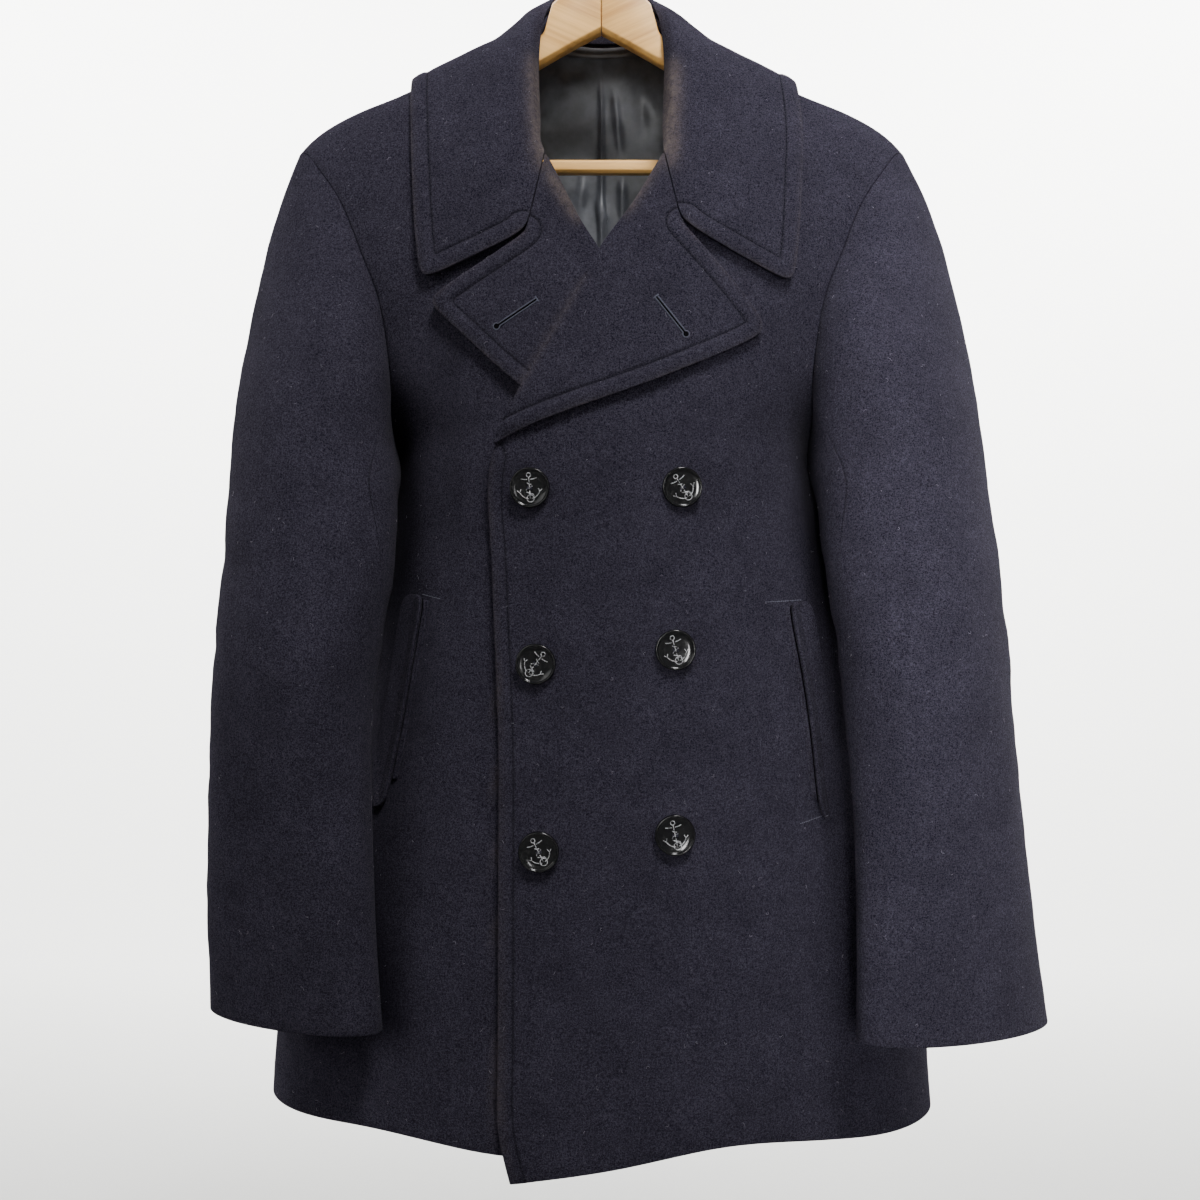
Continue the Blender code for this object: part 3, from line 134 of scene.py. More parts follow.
LINING_CREASES = [
    (0.0101, -0.1324, 0.0158, -0.1840, 0.0030, 0.0030),
    (0.0165, -0.2000, 0.0172, -0.2400, 0.0030, 0.0034),
    (-0.0125, -0.2020, -0.0200, -0.2300, 0.0035, 0.0030),
    (-0.0330, -0.1250, -0.0100, -0.1150, 0.0060, 0.0022),
    (-0.0060, -0.2150, 0.0060, -0.2420, 0.0030, 0.0028),
    (0.0300, -0.1200, 0.0350, -0.1700, 0.0050, 0.0022),
]
# Where cloth meets cloth: the elbow's folds, the underarm that closes on the body, and the upper lapel's
# lower end, which rolls under. Each has a place, a reach and a height.
ELBOW_Z, ELBOW_REACH, ELBOW_FOLD = -0.56, 0.10, 0.0013
UNDERARM_Z, UNDERARM_REACH, UNDERARM_SLEEVE, UNDERARM_BODY = -0.452, 0.024, 0.0050, 0.0030
LAPEL_END, LAPEL_END_REACH, LAPEL_END_DROP = (-0.072, -0.438), 0.020, 0.0040
# Seams: the gap that is left, the widest gap that is closed, and how far from one a rim counts as sewn.
SEAM_GAP, SEAM_OPEN, SEAM_REACH = 0.0003, 0.0014, 0.0036
# A sewn edge: its puff, the depth and width of the stitched groove, and how far wear reaches.
PUFF, GROOVE, GROOVE_SHARE, EDGE_WEAR = 0.0009, 0.0007, 0.12, 0.0016
# Rows of stitches: pitch, length, thread's radius, and how deep the thread sinks, in radii.
POCKET_SEWING = (0.0017, 0.0015, 0.00030, 0.25)
CUFF_SEWING = (0.0036, 0.0022, 0.00020, 0.7)
CUFF_ROWS = (("left", -0.7665), ("right", -0.7735))
# Pockets: the slit, a black strip of painted shade, with its two sides and its lift, then each jetting's distance
# from the welt and its radius.
SLIT_SIDES, SLIT_LIFT = (0.0004, 0.0024), 0.0006
JETTINGS = ((0.0036, 0.00125), (0.0056, 0.00090))
# Buttonholes: half the slit's width, the eyelet's radius, and half the bar's length; the slit is filled with painted
# shade.
HOLE_HALF, HOLE_EYE, HOLE_BAR = 0.00105, 0.00230, 0.0022
MM = 0.001
# Buttons, in millimetres: the turned profile, the face that is engraved, the holes, which are discs of painted shade,
# and their thread.
BUTTON_PROFILE = (
    (0.0, 0.0), (9.0, 0.0), (11.6, 0.15), (12.9, 0.55), (13.7, 1.25), (14.0, 2.1), (13.98, 2.9), (13.8, 3.55),
    (13.45, 3.95), (13.05, 4.05), (12.7, 3.9), (12.45, 3.55), (12.2, 3.2), (11.7, 2.98), (8.0, 2.78), (0.0, 2.7),
)
BUTTON_SIZE = 0.0140  # the radius that the profile has
ANCHOR_HEIGHT, HOLE_HEIGHT, THREAD_HEIGHT = 2.80, 2.79, 2.95
HOLE_PLACES, HOLE_RADIUS = ((-1.25, 0.9), (1.25, 0.9), (-1.25, -1.6), (1.25, -1.6)), 0.62
BUTTON_THREAD = 0.00024
# Buttons: CAD node and how far its anchor leans to the left, in degrees.
ANCHOR_LEAN = {"button_1": 4, "button_2": 33, "button_3": -38, "button_4": 16, "button_5": 27, "button_6": 12}
# The backdrop: the floor's radius, its rounded foot's radius and its height.
FLOOR_RADIUS, FOOT_RADIUS, WALL_HEIGHT = 2.2, 1.2, 4.4
CAMERA_X, CAMERA_LENS = -0.0011, 37.5
# Lights: place, the point that each shines at, width, height, share of the key's power, spread in degrees.
LIGHTS = {
    "key": ((0.50, -1.35, 1.65), (0, 0, -0.5), 0.6, 0.6, 1.0, 180),
    "fill": ((-1.6, -1.7, 0.5), (0, 0, -0.5), 1.6, 1.6, 0.17, 180),
    "side": ((0.1, -1.68, -0.35), (0.43, 0, -0.45), 0.25, 0.9, 0.032, 30),
    "wall_left": ((-1.3, 0.9, 1.8), (-0.8, 3.4, 0.5), 1.2, 1.2, 3.5, 180),
    "wall_right": ((1.3, 0.9, 1.8), (0.8, 3.4, 0.5), 1.2, 1.2, 4.1, 180),
}


# ------------------------------------------------------------------ sizes and colours a user may change
class PeaCoatCloth(bpy.types.PropertyGroup):
    wool_colour: FloatVectorProperty(
        name="Wool", description="Colour of the wool", subtype="COLOR", default=(0.0054, 0.0048, 0.0090)
    )
    fibre_colour: FloatVectorProperty(
        name="Fibre", description="Colour of the wool's pale fibres", subtype="COLOR", default=(0.055, 0.050, 0.069)
    )
    worn_colour: FloatVectorProperty(
        name="Worn", description="Colour of rubbed, faded wool", subtype="COLOR", default=(0.105, 0.084, 0.074)
    )
    satin_colour: FloatVectorProperty(
        name="Satin", description="Colour of the lining", subtype="COLOR", default=(0.040, 0.042, 0.050)
    )
    lint_count: IntProperty(name="Lint", description="Number of loose pale fibres", default=1500, min=0)


class PeaCoatSewing(bpy.types.PropertyGroup):
    stitch_length: FloatProperty(name="Stitch", description="Length of one topstitch", default=0.0024, unit="LENGTH")
    stitch_pitch: FloatProperty(
        name="Pitch", description="Distance from one topstitch to the next", default=0.0031, unit="LENGTH"
    )
    thread_radius: FloatProperty(
        name="Thread", description="Radius of the sewing thread", default=0.00026, unit="LENGTH"
    )
    cord_radius: FloatProperty(
        name="Buttonhole cord", description="Radius of a buttonhole's corded edge", default=0.00052, unit="LENGTH"
    )


class PeaCoatHard(bpy.types.PropertyGroup):
    button_radius: FloatProperty(name="Button", description="Radius of a button", default=0.0140, unit="LENGTH")
    line_radius: FloatProperty(
        name="Anchor line", description="Half the width of the anchor's lines", default=0.00030, unit="LENGTH"
    )
    wood_colour: FloatVectorProperty(
        name="Wood", description="Colour of the hanger's wood", subtype="COLOR", default=(0.74, 0.42, 0.125)
    )


class PeaCoatStage(bpy.types.PropertyGroup):
    floor_z: FloatProperty(name="Floor", description="Height of the floor", default=-1.35, unit="LENGTH")
    paper_colour: FloatVectorProperty(
        name="Paper", description="Colour of the floor and backdrop", subtype="COLOR", default=(0.88, 0.88, 0.86)
    )
    key_power: FloatProperty(name="Key light", description="Power of the main light", default=100.0, unit="POWER")
    camera_distance: FloatProperty(
        name="Camera", description="Distance from the camera to the hanger", default=0.95, unit="LENGTH"
    )
    camera_z: FloatProperty(name="Camera height", description="Height of the camera", default=-0.542, unit="LENGTH")


# ------------------------------------------------------------------ small tools
def only(obj):
    """Selects this object alone and makes it active."""
    bpy.ops.object.select_all(action="DESELECT")
    obj.select_set(True)
    bpy.context.view_layer.objects.active = obj


def modify(obj, kind, **settings):
    """Adds a modifier with these settings and applies it."""
    modifier = obj.modifiers.new(kind.lower(), kind)
    for name, value in settings.items():
        setattr(modifier, name, value)
    only(obj)
    bpy.ops.object.modifier_apply(modifier=modifier.name)


def object_of(name, mesh, material):
    """A new object of this mesh at the origin, with one material."""
    mesh.materials.clear()
    mesh.materials.append(material)
    obj = bpy.data.objects.new(name, mesh)
    bpy.context.scene.collection.objects.link(obj)
    return obj


def declare(piece, node=None):
    """Says what the piece rides on, and hides the CAD node that it stands for."""
    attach(piece, "root")
    if node:
        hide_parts(node)


def mesh_of(bm, name):
    """Writes a bmesh to a new mesh and frees it."""
    mesh = bpy.data.meshes.new(name)
    bm.to_mesh(mesh)
    bm.free()
    return mesh


def welded(node, distance):
    """A bmesh of a CAD node whose loose triangles are joined."""
    bm = bmesh.new()
    bm.from_mesh(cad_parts[node].data)
    bmesh.ops.remove_doubles(bm, verts=bm.verts, dist=distance)
    return bm


def squared(bm):
    """Joins the triangles into quads."""
    bmesh.ops.join_triangles(bm, faces=bm.faces, angle_face_threshold=math.pi, angle_shape_threshold=math.pi)


def triples(rows, name):
    """One row of three numbers for each item."""
    flat = np.empty(len(rows) * 3)
    rows.foreach_get(name, flat)
    return flat.reshape(-1, 3)


def points_of(mesh):
    return triples(mesh.vertices, "co")


def normals_of(mesh):
    return triples(mesh.vertex_normals, "vector")


def push(mesh, normals, heights):
    """Moves the mesh's points along their normals."""
    for vertex, normal, height in zip(mesh.vertices, normals, heights):
        vertex.co += Vector(normal * height)
    mesh.update()


def store(mesh, name, values):
    """Writes one number for each point of the mesh."""
    layer = mesh.attributes.get(name) or mesh.attributes.new(name, "FLOAT", "POINT")
    layer.data.foreach_set("value", np.asarray(values, np.float32))


def nearest(tree, points):
    """Each point's distance to the nearest point of a tree."""
    return np.array([tree.find(p)[2] for p in points])


def tree_of(points):
    tree = KDTree(len(points))
    for index, point in enumerate(points):
        tree.insert(point, index)
    tree.balance()
    return tree


def bell(away, reach):
    """1 at no distance, falling to nothing at about twice the reach."""
    return np.exp(-((away / reach) ** 2))


def ridge(x, z, x1, z1, x2, z2, width):
    """1 on the line between two points in front view, falling away beside it, and a taper to its ends."""
    along = np.array([x2 - x1, z2 - z1])
    share = np.clip(((x - x1) * along[0] + (z - z1) * along[1]) / np.linalg.norm(along) ** 2, 0, 1)
    away = np.hypot(x - x1 - share * along[0], z - z1 - share * along[1])
    return bell(away, width), np.clip(np.minimum(share, 1 - share) * 4 + 0.05, 0, 1)


def is_panel(node):
    """Whether this is one of the large panels, which are sewn to each other along their edges."""
    return "sleeve" in node or node.startswith(("front", "back"))


# ------------------------------------------------------------------ materials
class Finish:
    """A material whose patterns follow the piece's own coordinates."""

    def __init__(self, name):
        self.material = bpy.data.materials.new(name)
        self.material.use_nodes = True
        self.tree = self.material.node_tree
        self.coords = self.node("TexCoord").outputs["Object"]

    def wire(self, value, socket):
        """Feeds a socket from another node's output, or sets it to a number or colour."""
        if isinstance(value, bpy.types.NodeSocket):
            self.tree.links.new(value, socket)
        elif socket.type == "RGBA":
            socket.default_value = (*value, 1) if isinstance(value, tuple) else (value, value, value, 1)
        else:
            socket.default_value = value

    def node(self, kind, settings=(), **inputs):
        """A node of this kind with these settings and inputs."""
        node = self.tree.nodes.new("ShaderNode" + kind)
        for name, value in settings:
            setattr(node, name, value)
        for name, value in inputs.items():
            self.wire(value, node.inputs[name])
        return node

    def noise(self, scale, detail=2.0, rough=0.5, at=None):
        at = self.coords if at is None else at
        return self.node("TexNoise", Vector=at, Scale=scale, Detail=detail, Roughness=rough).outputs["Fac"]

    def stretched(self, scale, turn=(0, 0, 0), at=None):
        at = self.coords if at is None else at
        return self.node("Mapping", Vector=at, Scale=scale, Rotation=turn).outputs["Vector"]

    def ramp(self, source, *stops):
        """A colour ramp that an output drives, with a grey at each place."""
        node = self.node("ValToRGB", Fac=source)
        elements = node.color_ramp.elements
        for element, (place, grey) in zip(elements, stops):
            element.position = place
            element.color = (grey, grey, grey, 1)
        return node.outputs["Color"]

    def mix(self, factor, first, second, how="MIX"):
        """Two colours mixed by a factor; each may be an output or a fixed value."""
        node = self.node("Mix", [("data_type", "RGBA"), ("blend_type", how)])
        for place, value in ((0, factor), (6, first), (7, second)):
            self.wire(value, node.inputs[place])
        return node.outputs[2]

    def sums(self, how, *values):
        node = self.node("Math", [("operation", how)])
        for socket, value in zip(node.inputs, values):
            self.wire(value, socket)
        return node.outputs[0]

    def times(self, first, second):
        return self.sums("MULTIPLY", first, second)

    def attribute(self, name):
        return self.node("Attribute", [("attribute_name", name)]).outputs["Fac"]

    def bumps(self, *layers):
        """A normal with each layer of (height, strength, distance) on the one before it."""
        normal = None
        for height, strength, distance in layers:
            under = {} if normal is None else {"Normal": normal}
            normal = self.node("Bump", Height=height, Strength=strength, Distance=distance, **under).outputs["Normal"]
        return normal

    def shaded(self, **inputs):
        """Feeds the shader's inputs, named with _ for a space, and gives the material."""
        shader = self.tree.nodes["Principled BSDF"]
        for name, value in inputs.items():
            self.wire(value, shader.inputs[name.replace("_", " ")])
        return self.material


def melton_wool():
    """Heavily felted dark wool: short matted fibres, a faint nap, rubbed places and shaded underarms."""
    look = bpy.context.scene.pea_coat_cloth
    wool, fibres, worn = tuple(look.wool_colour), tuple(look.fibre_colour), tuple(look.worn_colour)
    made = Finish("melton_wool_cloth")
    felt = made.noise(850, 5, 0.72)
    fine = made.noise(2300, 3, 0.6)
    hairs = made.noise(1, 3, 0.65, made.stretched((900, 500, 190), (0.3, 0.2, 0.5)))
    crossed = made.noise(1, 3, 0.65, made.stretched((210, 500, 950), (0.2, 0.7, 0.3)))
    blotches = made.noise(28, 4, 0.62)
    matted = made.sums("ADD", made.times(felt, 0.5), made.times(fine, 0.5))
    fibre = made.sums("MAXIMUM", hairs, crossed)
    light = made.ramp(matted, (0.43, 0.0), (0.60, 1.0))
    threads = made.ramp(fibre, (0.56, 0.0), (0.78, 1.0))
    cloudy = made.ramp(blotches, (0.30, 0.84), (0.72, 1.12))
    specks = made.ramp(made.noise(1050), (0.70, 0.0), (0.76, 1.0))
    colour = made.mix(made.times(light, 0.75), wool, fibres)
    colour = made.mix(made.times(threads, 0.50), colour, fibres)
    colour = made.mix(made.times(specks, 0.40), colour, (0.090, 0.083, 0.098))
    colour = made.mix(1.0, colour, cloudy, "MULTIPLY")
    broken = made.ramp(made.noise(260, 5, 0.75), (0.36, 0.0), (0.62, 1.0))
    rubbed = made.times(made.attribute("worn"), made.sums("ADD", made.times(broken, 0.65), 0.25))
    colour = made.mix(rubbed, colour, worn)
    # Painted shade: the wool darkens towards near-black along the stitched grooves and between the welts' ridges.
    line = made.times(made.sums("ABSOLUTE", made.attribute("groove")), 650.0)
    sunk = made.sums("SMOOTH_MIN", line, 1.0, 0.35)
    colour = made.mix(made.times(made.sums("SUBTRACT", 1.0, sunk), 0.45), colour, 0.006)
    # Painted shade: the wool darkens nearly to black where sleeve and body lie close below the armhole.
    colour = made.mix(made.times(made.attribute("underarm_painted_shade"), 0.85), colour, (0.0006, 0.0006, 0.0014))
    return made.shaded(
        Base_Color=colour,
        Roughness=0.92,
        Specular_IOR_Level=0.0,
        Sheen_Weight=0.03,
        Sheen_Roughness=0.42,
        Sheen_Tint=(0.70, 0.66, 0.76),
        Normal=made.bumps(
            (sunk, 0.55, 0.0008), (blotches, 0.14, 0.0012), (fibre, 0.30, 0.0004), (matted, 0.90, 0.0007)
        ),
    )


def satin():
    """Closely woven black lining with a soft sheen and small wrinkles."""
    look = bpy.context.scene.pea_coat_cloth
    made = Finish("satin_cloth")
    warp = made.noise(1, at=made.stretched((2600, 2600, 120)))
    wrinkles = made.noise(1, 2, 0.45, made.stretched((24, 24, 11), (0, 0.25, 0)))
    mottled = made.noise(90, 3, 0.6)
    return made.shaded(
        Base_Color=made.mix(
            made.ramp(mottled, (0.35, 0.0), (0.7, 1.0)), tuple(look.satin_colour), (0.070, 0.074, 0.086)
        ),
        Roughness=made.ramp(mottled, (0.3, 0.36), (0.75, 0.50)),
        Specular_IOR_Level=0.50,
        Sheen_Weight=0.25,
        Sheen_Roughness=0.3,
        Normal=made.bumps((wrinkles, 0.35, 0.005), (warp, 0.25, 0.0002)),
    )


def pale_wood(name, turn):
    """Clear-lacquered wood with its grain along the piece, which lies at this angle to the level."""
    base = tuple(bpy.context.scene.pea_coat_hard.wood_colour)
    made = Finish(name)
    along = made.stretched((1, 1, 1), (0, turn, 0))
    grain = made.noise(1, 4, 0.6, made.stretched((7, 230, 230), at=along))
    rings = made.noise(1, 2, 0.4, made.stretched((3, 52, 52), at=along))
    pores = made.noise(1, at=made.stretched((60, 1500, 1500), at=along))
    dark = tuple(c * k for c, k in zip(base, (0.72, 0.62, 0.50)))
    light = tuple(min(1.0, c * 1.18) for c in base)
    colour = made.mix(made.ramp(grain, (0.36, 0.0), (0.64, 1.0)), dark, base)
    colour = made.mix(made.times(made.ramp(rings, (0.40, 0.0), (0.62, 1.0)), 0.55), colour, light)
    colour = made.mix(made.times(made.ramp(pores, (0.62, 0.0), (0.74, 1.0)), 0.4), colour, dark)
    return made.shaded(
        Base_Color=colour,
        Roughness=made.ramp(grain, (0.3, 0.36), (0.7, 0.50)),
        Coat_Weight=0.08,
        Coat_Roughness=0.22,
        Normal=made.bumps((grain, 0.20, 0.0003), (pores, 0.20, 0.00015)),
    )


def black_button():
    """Polished black plastic with faint scratches and dust."""
    made = Finish("black_button_gloss")
    smudge = made.noise(170, 4, 0.6)
    scratch = made.noise(1, at=made.stretched((2200, 300, 260), (0, 0.6, 0)))
    dust = made.ramp(made.noise(1500), (0.68, 0.0), (0.78, 1.0))
    return made.shaded(
        Base_Color=made.mix(made.times(dust, 0.18), (0.0030, 0.0030, 0.0035), (0.09, 0.09, 0.10)),
        Roughness=made.ramp(smudge, (0.35, 0.08), (0.75, 0.22)),
        Specular_IOR_Level=0.30,
        Coat_Weight=0.10,
        Coat_Roughness=0.06,
        Normal=made.bumps((scratch, 0.10, 0.0001)),
    )


def plain(name, colour, rough, spread=0.3, scale=700, metallic=0.0, shine=0.0):
    """A finish of one colour that varies a little from place to place, with a fine surface."""
    made = Finish(name)
    grain = made.noise(scale, 3, 0.6)
    low = tuple(c * (1 - spread) for c in colour)
    high = tuple(min(1.0, c * (1 + spread)) for c in colour)
    return made.shaded(
        Base_Color=made.mix(made.ramp(grain, (0.35, 0.0), (0.65, 1.0)), low, high),
        Roughness=made.ramp(grain, (0.3, rough * 0.85), (0.7, min(1.0, rough * 1.15))),
        Metallic=metallic,
        Specular_IOR_Level=shine,
        Normal=made.bumps((grain, 0.25, 0.0002)),
    )


# ------------------------------------------------------------------ cloth
def facing_sheet(node, facing, wall):
    """The face of a CAD wall that looks this way, as an open sheet of quads."""
    bm = welded(node, 2e-5)
    rim = [f for f in bm.faces if any(abs(e.calc_length() - wall.thickness) < wall.exactness for e in f.edges)]
    bmesh.ops.delete(bm, geom=rim, context="FACES")
    left = set(bm.faces)
    sheets = []
    while left:
        found = [left.pop()]
        for face in found:
            near = {other for edge in face.edges for other in edge.link_faces} & left
            left -= near
            found.extend(near)
        sheets.append(found)
    way = Vector(facing)
    kept = set(max(sheets, key=lambda faces: sum((f.normal * f.calc_area() for f in faces), Vector()).dot(way)))
    bmesh.ops.delete(bm, geom=[f for f in bm.faces if f not in kept], context="FACES")
    squared(bm)
    return mesh_of(bm, node + "_cloth")


def outline_of(mesh):
    """The points of the sheet's outline, in order round it."""
    bm = bmesh.new()
    bm.from_mesh(mesh)
    edges = dict.fromkeys(e for e in bm.edges if e.is_boundary)  # keeps their order, the same in each run
    loops = []
    while edges:
        edge = next(iter(edges))
        loop = [edge.verts[0]]
        while edge is not None:
            del edges[edge]
            loop.append(edge.other_vert(loop[-1]))
            edge = next((e for e in loop[-1].link_edges if e in edges), None)
        loops.append([v.co.copy() for v in loop[:-1]])
    bm.free()
    return max(loops, key=len)


def run_along(outline, start, through, end):
    """The part of an outline from one point to another that passes near a third."""
    places = [min(range(len(outline)), key=lambda i: (outline[i] - Vector(p)).length) for p in (start, end)]
    ways = []
    for step in (1, -1):
        here = places[0]
        path = [outline[here]]
        while here != places[1]:
            here = (here + step) % len(outline)
            path.append(outline[here])
        ways.append(path)
    return min(ways, key=lambda path: min((p - Vector(through)).length for p in path))


def dense(path, gap=0.0015):
    """Points along a path, at most this far apart."""
    points = []
    for a, b in zip(path, path[1:]):
        count = max(1, math.ceil((b - a).length / gap))
        points.extend(a.lerp(b, k / count) for k in range(count))
    return points + [path[-1]]


def level_line(mesh, values, level):
    """The longest line on the mesh along which the values equal the level, as points and normals."""
    mesh.calc_loop_triangles()
    grids = points_of(mesh), normals_of(mesh)
    links = {}
    spots = {}
    for triangle in mesh.loop_triangles:
        crossed = []
        corners = triangle.vertices
        for a, b in ((corners[0], corners[1]), (corners[1], corners[2]), (corners[2], corners[0])):
            if (values[a] - level) * (values[b] - level) < 0:
                key = (min(a, b), max(a, b))
                share = (level - values[key[0]]) / (values[key[1]] - values[key[0]])
                spots[key] = [grid[key[0]] * (1 - share) + grid[key[1]] * share for grid in grids]
                crossed.append(key)
        if len(crossed) == 2:
            links.setdefault(crossed[0], []).append(crossed[1])
            links.setdefault(crossed[1], []).append(crossed[0])
    lines = []
    while links:
        ends = [key for key, near in links.items() if len(near) == 1]
        line = [ends[0] if ends else next(iter(links))]
        while line[-1] in links:
            near = [key for key in links.pop(line[-1]) if key in links]
            if near:
                line.append(near[0])
        lines.append(line)
    longest = max(lines, key=len)
    return [np.array([spots[key][which] for key in longest]) for which in (0, 1)]


def resampled(points, normals, pitch):
    """The line's points and normals at even steps of its length."""
    steps = np.linalg.norm(np.diff(points, axis=0), axis=1)
    along = np.concatenate([[0], np.cumsum(steps)])
    at = np.arange(pitch / 2, along[-1], pitch)
    spaced = [np.stack([np.interp(at, along, axis) for axis in grid.T], axis=-1) for grid in (points, normals)]
    return spaced[0], spaced[1] / np.linalg.norm(spaced[1], axis=1, keepdims=True)


def soften(node, mesh):
    """Moves the sheet's points for small creases, an uneven hang and what presses on it."""
    points, normals = points_of(mesh), normals_of(mesh)
    inside = nearest(tree_of(dense(outline_of(mesh))), points)
    fade = np.clip((inside - 0.002) / 0.018, 0, 1)
    fade = fade * fade * (3 - 2 * fade)
    x, _, z = points.T
    move = np.zeros(len(points))
    creases = {"front_over": FRONT_CREASES, "front_under": FRONT_CREASES, "lining_back": LINING_CREASES}
    for *ends, width, height in creases.get(node, ()):
        near, taper = ridge(x, z, *ends, width)
        move += height * near * taper
    wavy = np.array([noise.noise(Vector(p) * 26) + 0.5 * noise.noise(Vector(p) * 61) for p in points])
    if "sleeve" in node:
        slanted = np.array([noise.noise(Vector((px * 16, py * 16, pz * 55 + px * 30))) for px, py, pz in points])
        move += slanted * (0.0005 + ELBOW_FOLD * bell(z - ELBOW_Z, ELBOW_REACH))
    if node == "hang_loop":
        across = (z - z.min()) / (z.max() - z.min())
        move += 0.0008 * np.abs(np.sin(2 * math.pi * across))
        fade = 1
    amount = UNEVEN.get(node, UNEVEN_SLEEVE if "sleeve" in node else UNEVEN_REST)
    move = (move + amount * wavy) * fade
    if is_panel(node):
        way, bulge = (-1, UNDERARM_SLEEVE) if "sleeve" in node else (1, UNDERARM_BODY)
        facing = np.clip(way * np.sign(x) * normals[:, 0], 0, 1)
        move += bulge * facing * bell(z - UNDERARM_Z, UNDERARM_REACH)
    if node == "lapel_over":
        end = np.hypot(x - LAPEL_END[0], z - LAPEL_END[1])
        move -= LAPEL_END_DROP * bell(end, LAPEL_END_REACH)
    push(mesh, normals, move)


def sewn_edge(node, mesh):
    """Rolls the sheet's free edge and finds its topstitched line; returns the edge's tree and the line's inset."""
    for name, start, through, end, inset in TOPSTITCHED:
        if name == node:
            tree = tree_of(dense(run_along(outline_of(mesh), start, through, end), 0.0008))
            distance = nearest(tree, points_of(mesh))
            share = np.clip(distance / inset, 0, 1.6)
            puff = PUFF * np.sin(np.clip(share, 0, 1) * math.pi) - GROOVE * bell(share - 1, GROOVE_SHARE)
            push(mesh, normals_of(mesh), puff)
            STITCH_LINES.append(level_line(mesh, distance, inset))
            return tree, inset
    return None, None


def worn_share(points):
    """How faded the wool is at each point, from 0 to 1."""
    x, y, z = points.T
    total = np.zeros(len(points))
    for *ends, radius, strength in WORN:
        near, taper = ridge(x, z, *ends, radius)
        total = np.maximum(total, strength * near * np.clip(taper + 0.5, 0, 1))
    return total * (y < 0.02)


def painted_underarm_shade(node, points):
    """Painted shade below the armhole: how closely sleeve and body lie against each other there, from 0 to 1."""
    tree = caster([name for name in CLOTH if is_panel(name) and ("sleeve" in name) != ("sleeve" in node)], "_cut")
    gap = np.array([tree.find_nearest(Vector(p))[3] for p in points])
    down = np.clip((-points[:, 2] - 0.37) / 0.07, 0, 1)
    return down * bell(np.maximum(gap - 0.004, 0), 0.014)


def seams_of(node):
    """A tree of the other panels' outlines, to tell this panel's seams from its free edges."""
    if not is_panel(node):
        return None
    points = []
    for other in filter(is_panel, CLOTH):
        if other != node:
            points.extend(dense(outline_of(MADE[other + "_cut"]), 0.002))
    return tree_of(points)


def meet_seams(mesh, tree):
    """Moves the sheet's seam edges out until they nearly meet their neighbours'."""
    for vertex in mesh.vertices:
        near, _, distance = tree.find(vertex.co)
        if SEAM_GAP < distance < SEAM_OPEN:
            vertex.co = vertex.co.lerp(near, 0.5 - SEAM_GAP / 2 / distance)
    mesh.update()


def weigh_rim(mesh, seams):
    """Gives the sharp edges round the cloth's rim a bevel weight: whole where free, and less at a seam."""
    weights = mesh.attributes.new("bevel_weight_edge", "FLOAT", "EDGE")
    bm = bmesh.new()
    bm.from_mesh(mesh)
    for edge in bm.edges:
        if len(edge.link_faces) == 2 and edge.calc_face_angle() >= math.radians(60):
            middle = (edge.verts[0].co + edge.verts[1].co) / 2
            sewn = seams is not None and seams.find(middle)[2] < SEAM_REACH
            weights.data[edge.index].value = 0.3 if sewn else 1.0
    bm.free()


def subdivided(piece, levels, corners):
    """Subdivides the sheet, with its corners kept or rounded."""
    modify(piece, "SUBSURF", levels=levels, render_levels=levels, boundary_smooth=corners)


def kept_in_size(piece, levels):
    """Moves the sheet's points outwards by what a subdivision would draw them in."""
    trial = object_of("trial", piece.data.copy(), piece.data.materials[0])
    subdivided(trial, levels, "PRESERVE_CORNERS")
    before = points_of(piece.data)
    missed = before - points_of(trial.data)[: len(before)]
    length = np.linalg.norm(missed, axis=1, keepdims=True)
    missed *= np.clip(0.0025 / np.maximum(length, 1e-9), 0, 1) * (length < 0.006)
    bpy.data.objects.remove(trial)
    piece.data.vertices.foreach_set("co", (before + missed).ravel())
    piece.data.update()


def build_cloth(node, material):
    """One cut piece: the CAD wall's own face, subdivided, creased, given its thickness and rounded edges."""
    _, wall, flat = CLOTH[node]
    mesh = MADE[node + "_cut"].copy()
    seams = seams_of(node)
    if seams:
        meet_seams(mesh, seams)
    piece = object_of(node + "_cloth", mesh, material)
    if wall.held == "hung":
        kept_in_size(piece, wall.levels)
    subdivided(piece, wall.levels, "PRESERVE_CORNERS" if wall.held == "hung" or node == "collar_stand" else "ALL")
    soften(node, piece.data)
    tree, inset = sewn_edge(node, piece.data)
    MADE[node + "_sheet"] = piece.data.copy()
    modify(piece, "SOLIDIFY", thickness=wall.thickness, offset=-1, use_even_offset=True)
    weigh_rim(piece.data, seams)
    modify(piece, "BEVEL", width=wall.radius, segments=3, limit_method="WEIGHT")
    bpy.ops.object.shade_smooth()
    points = points_of(piece.data)
    groove = np.ones(len(points))
    worn = worn_share(points)
    if tree is not None:
        distance = nearest(tree, points)
        groove = distance - inset
        uneven = np.array([0.5 + 0.5 * noise.noise(Vector(p) * 45) for p in points])
        worn = np.maximum(worn, 0.30 * np.exp(-distance / EDGE_WEAR) * uneven)
    if node in ("welt_left", "welt_right"):
        edge = nearest(tree_of(dense(welt_edge(node[5:]))), points)
        groove = np.minimum(np.abs(edge - 0.0030), np.abs(edge - 0.0058))
    # The groove carries the bump and the painted shade along the stitched lines.
    store(piece.data, "groove", groove)
    store(piece.data, "worn", worn)
    # Painted shade between sleeve and body below the armhole, kept on each point.
    if seams:
        store(piece.data, "underarm_painted_shade", painted_underarm_shade(node, points))
    declare(piece, node)


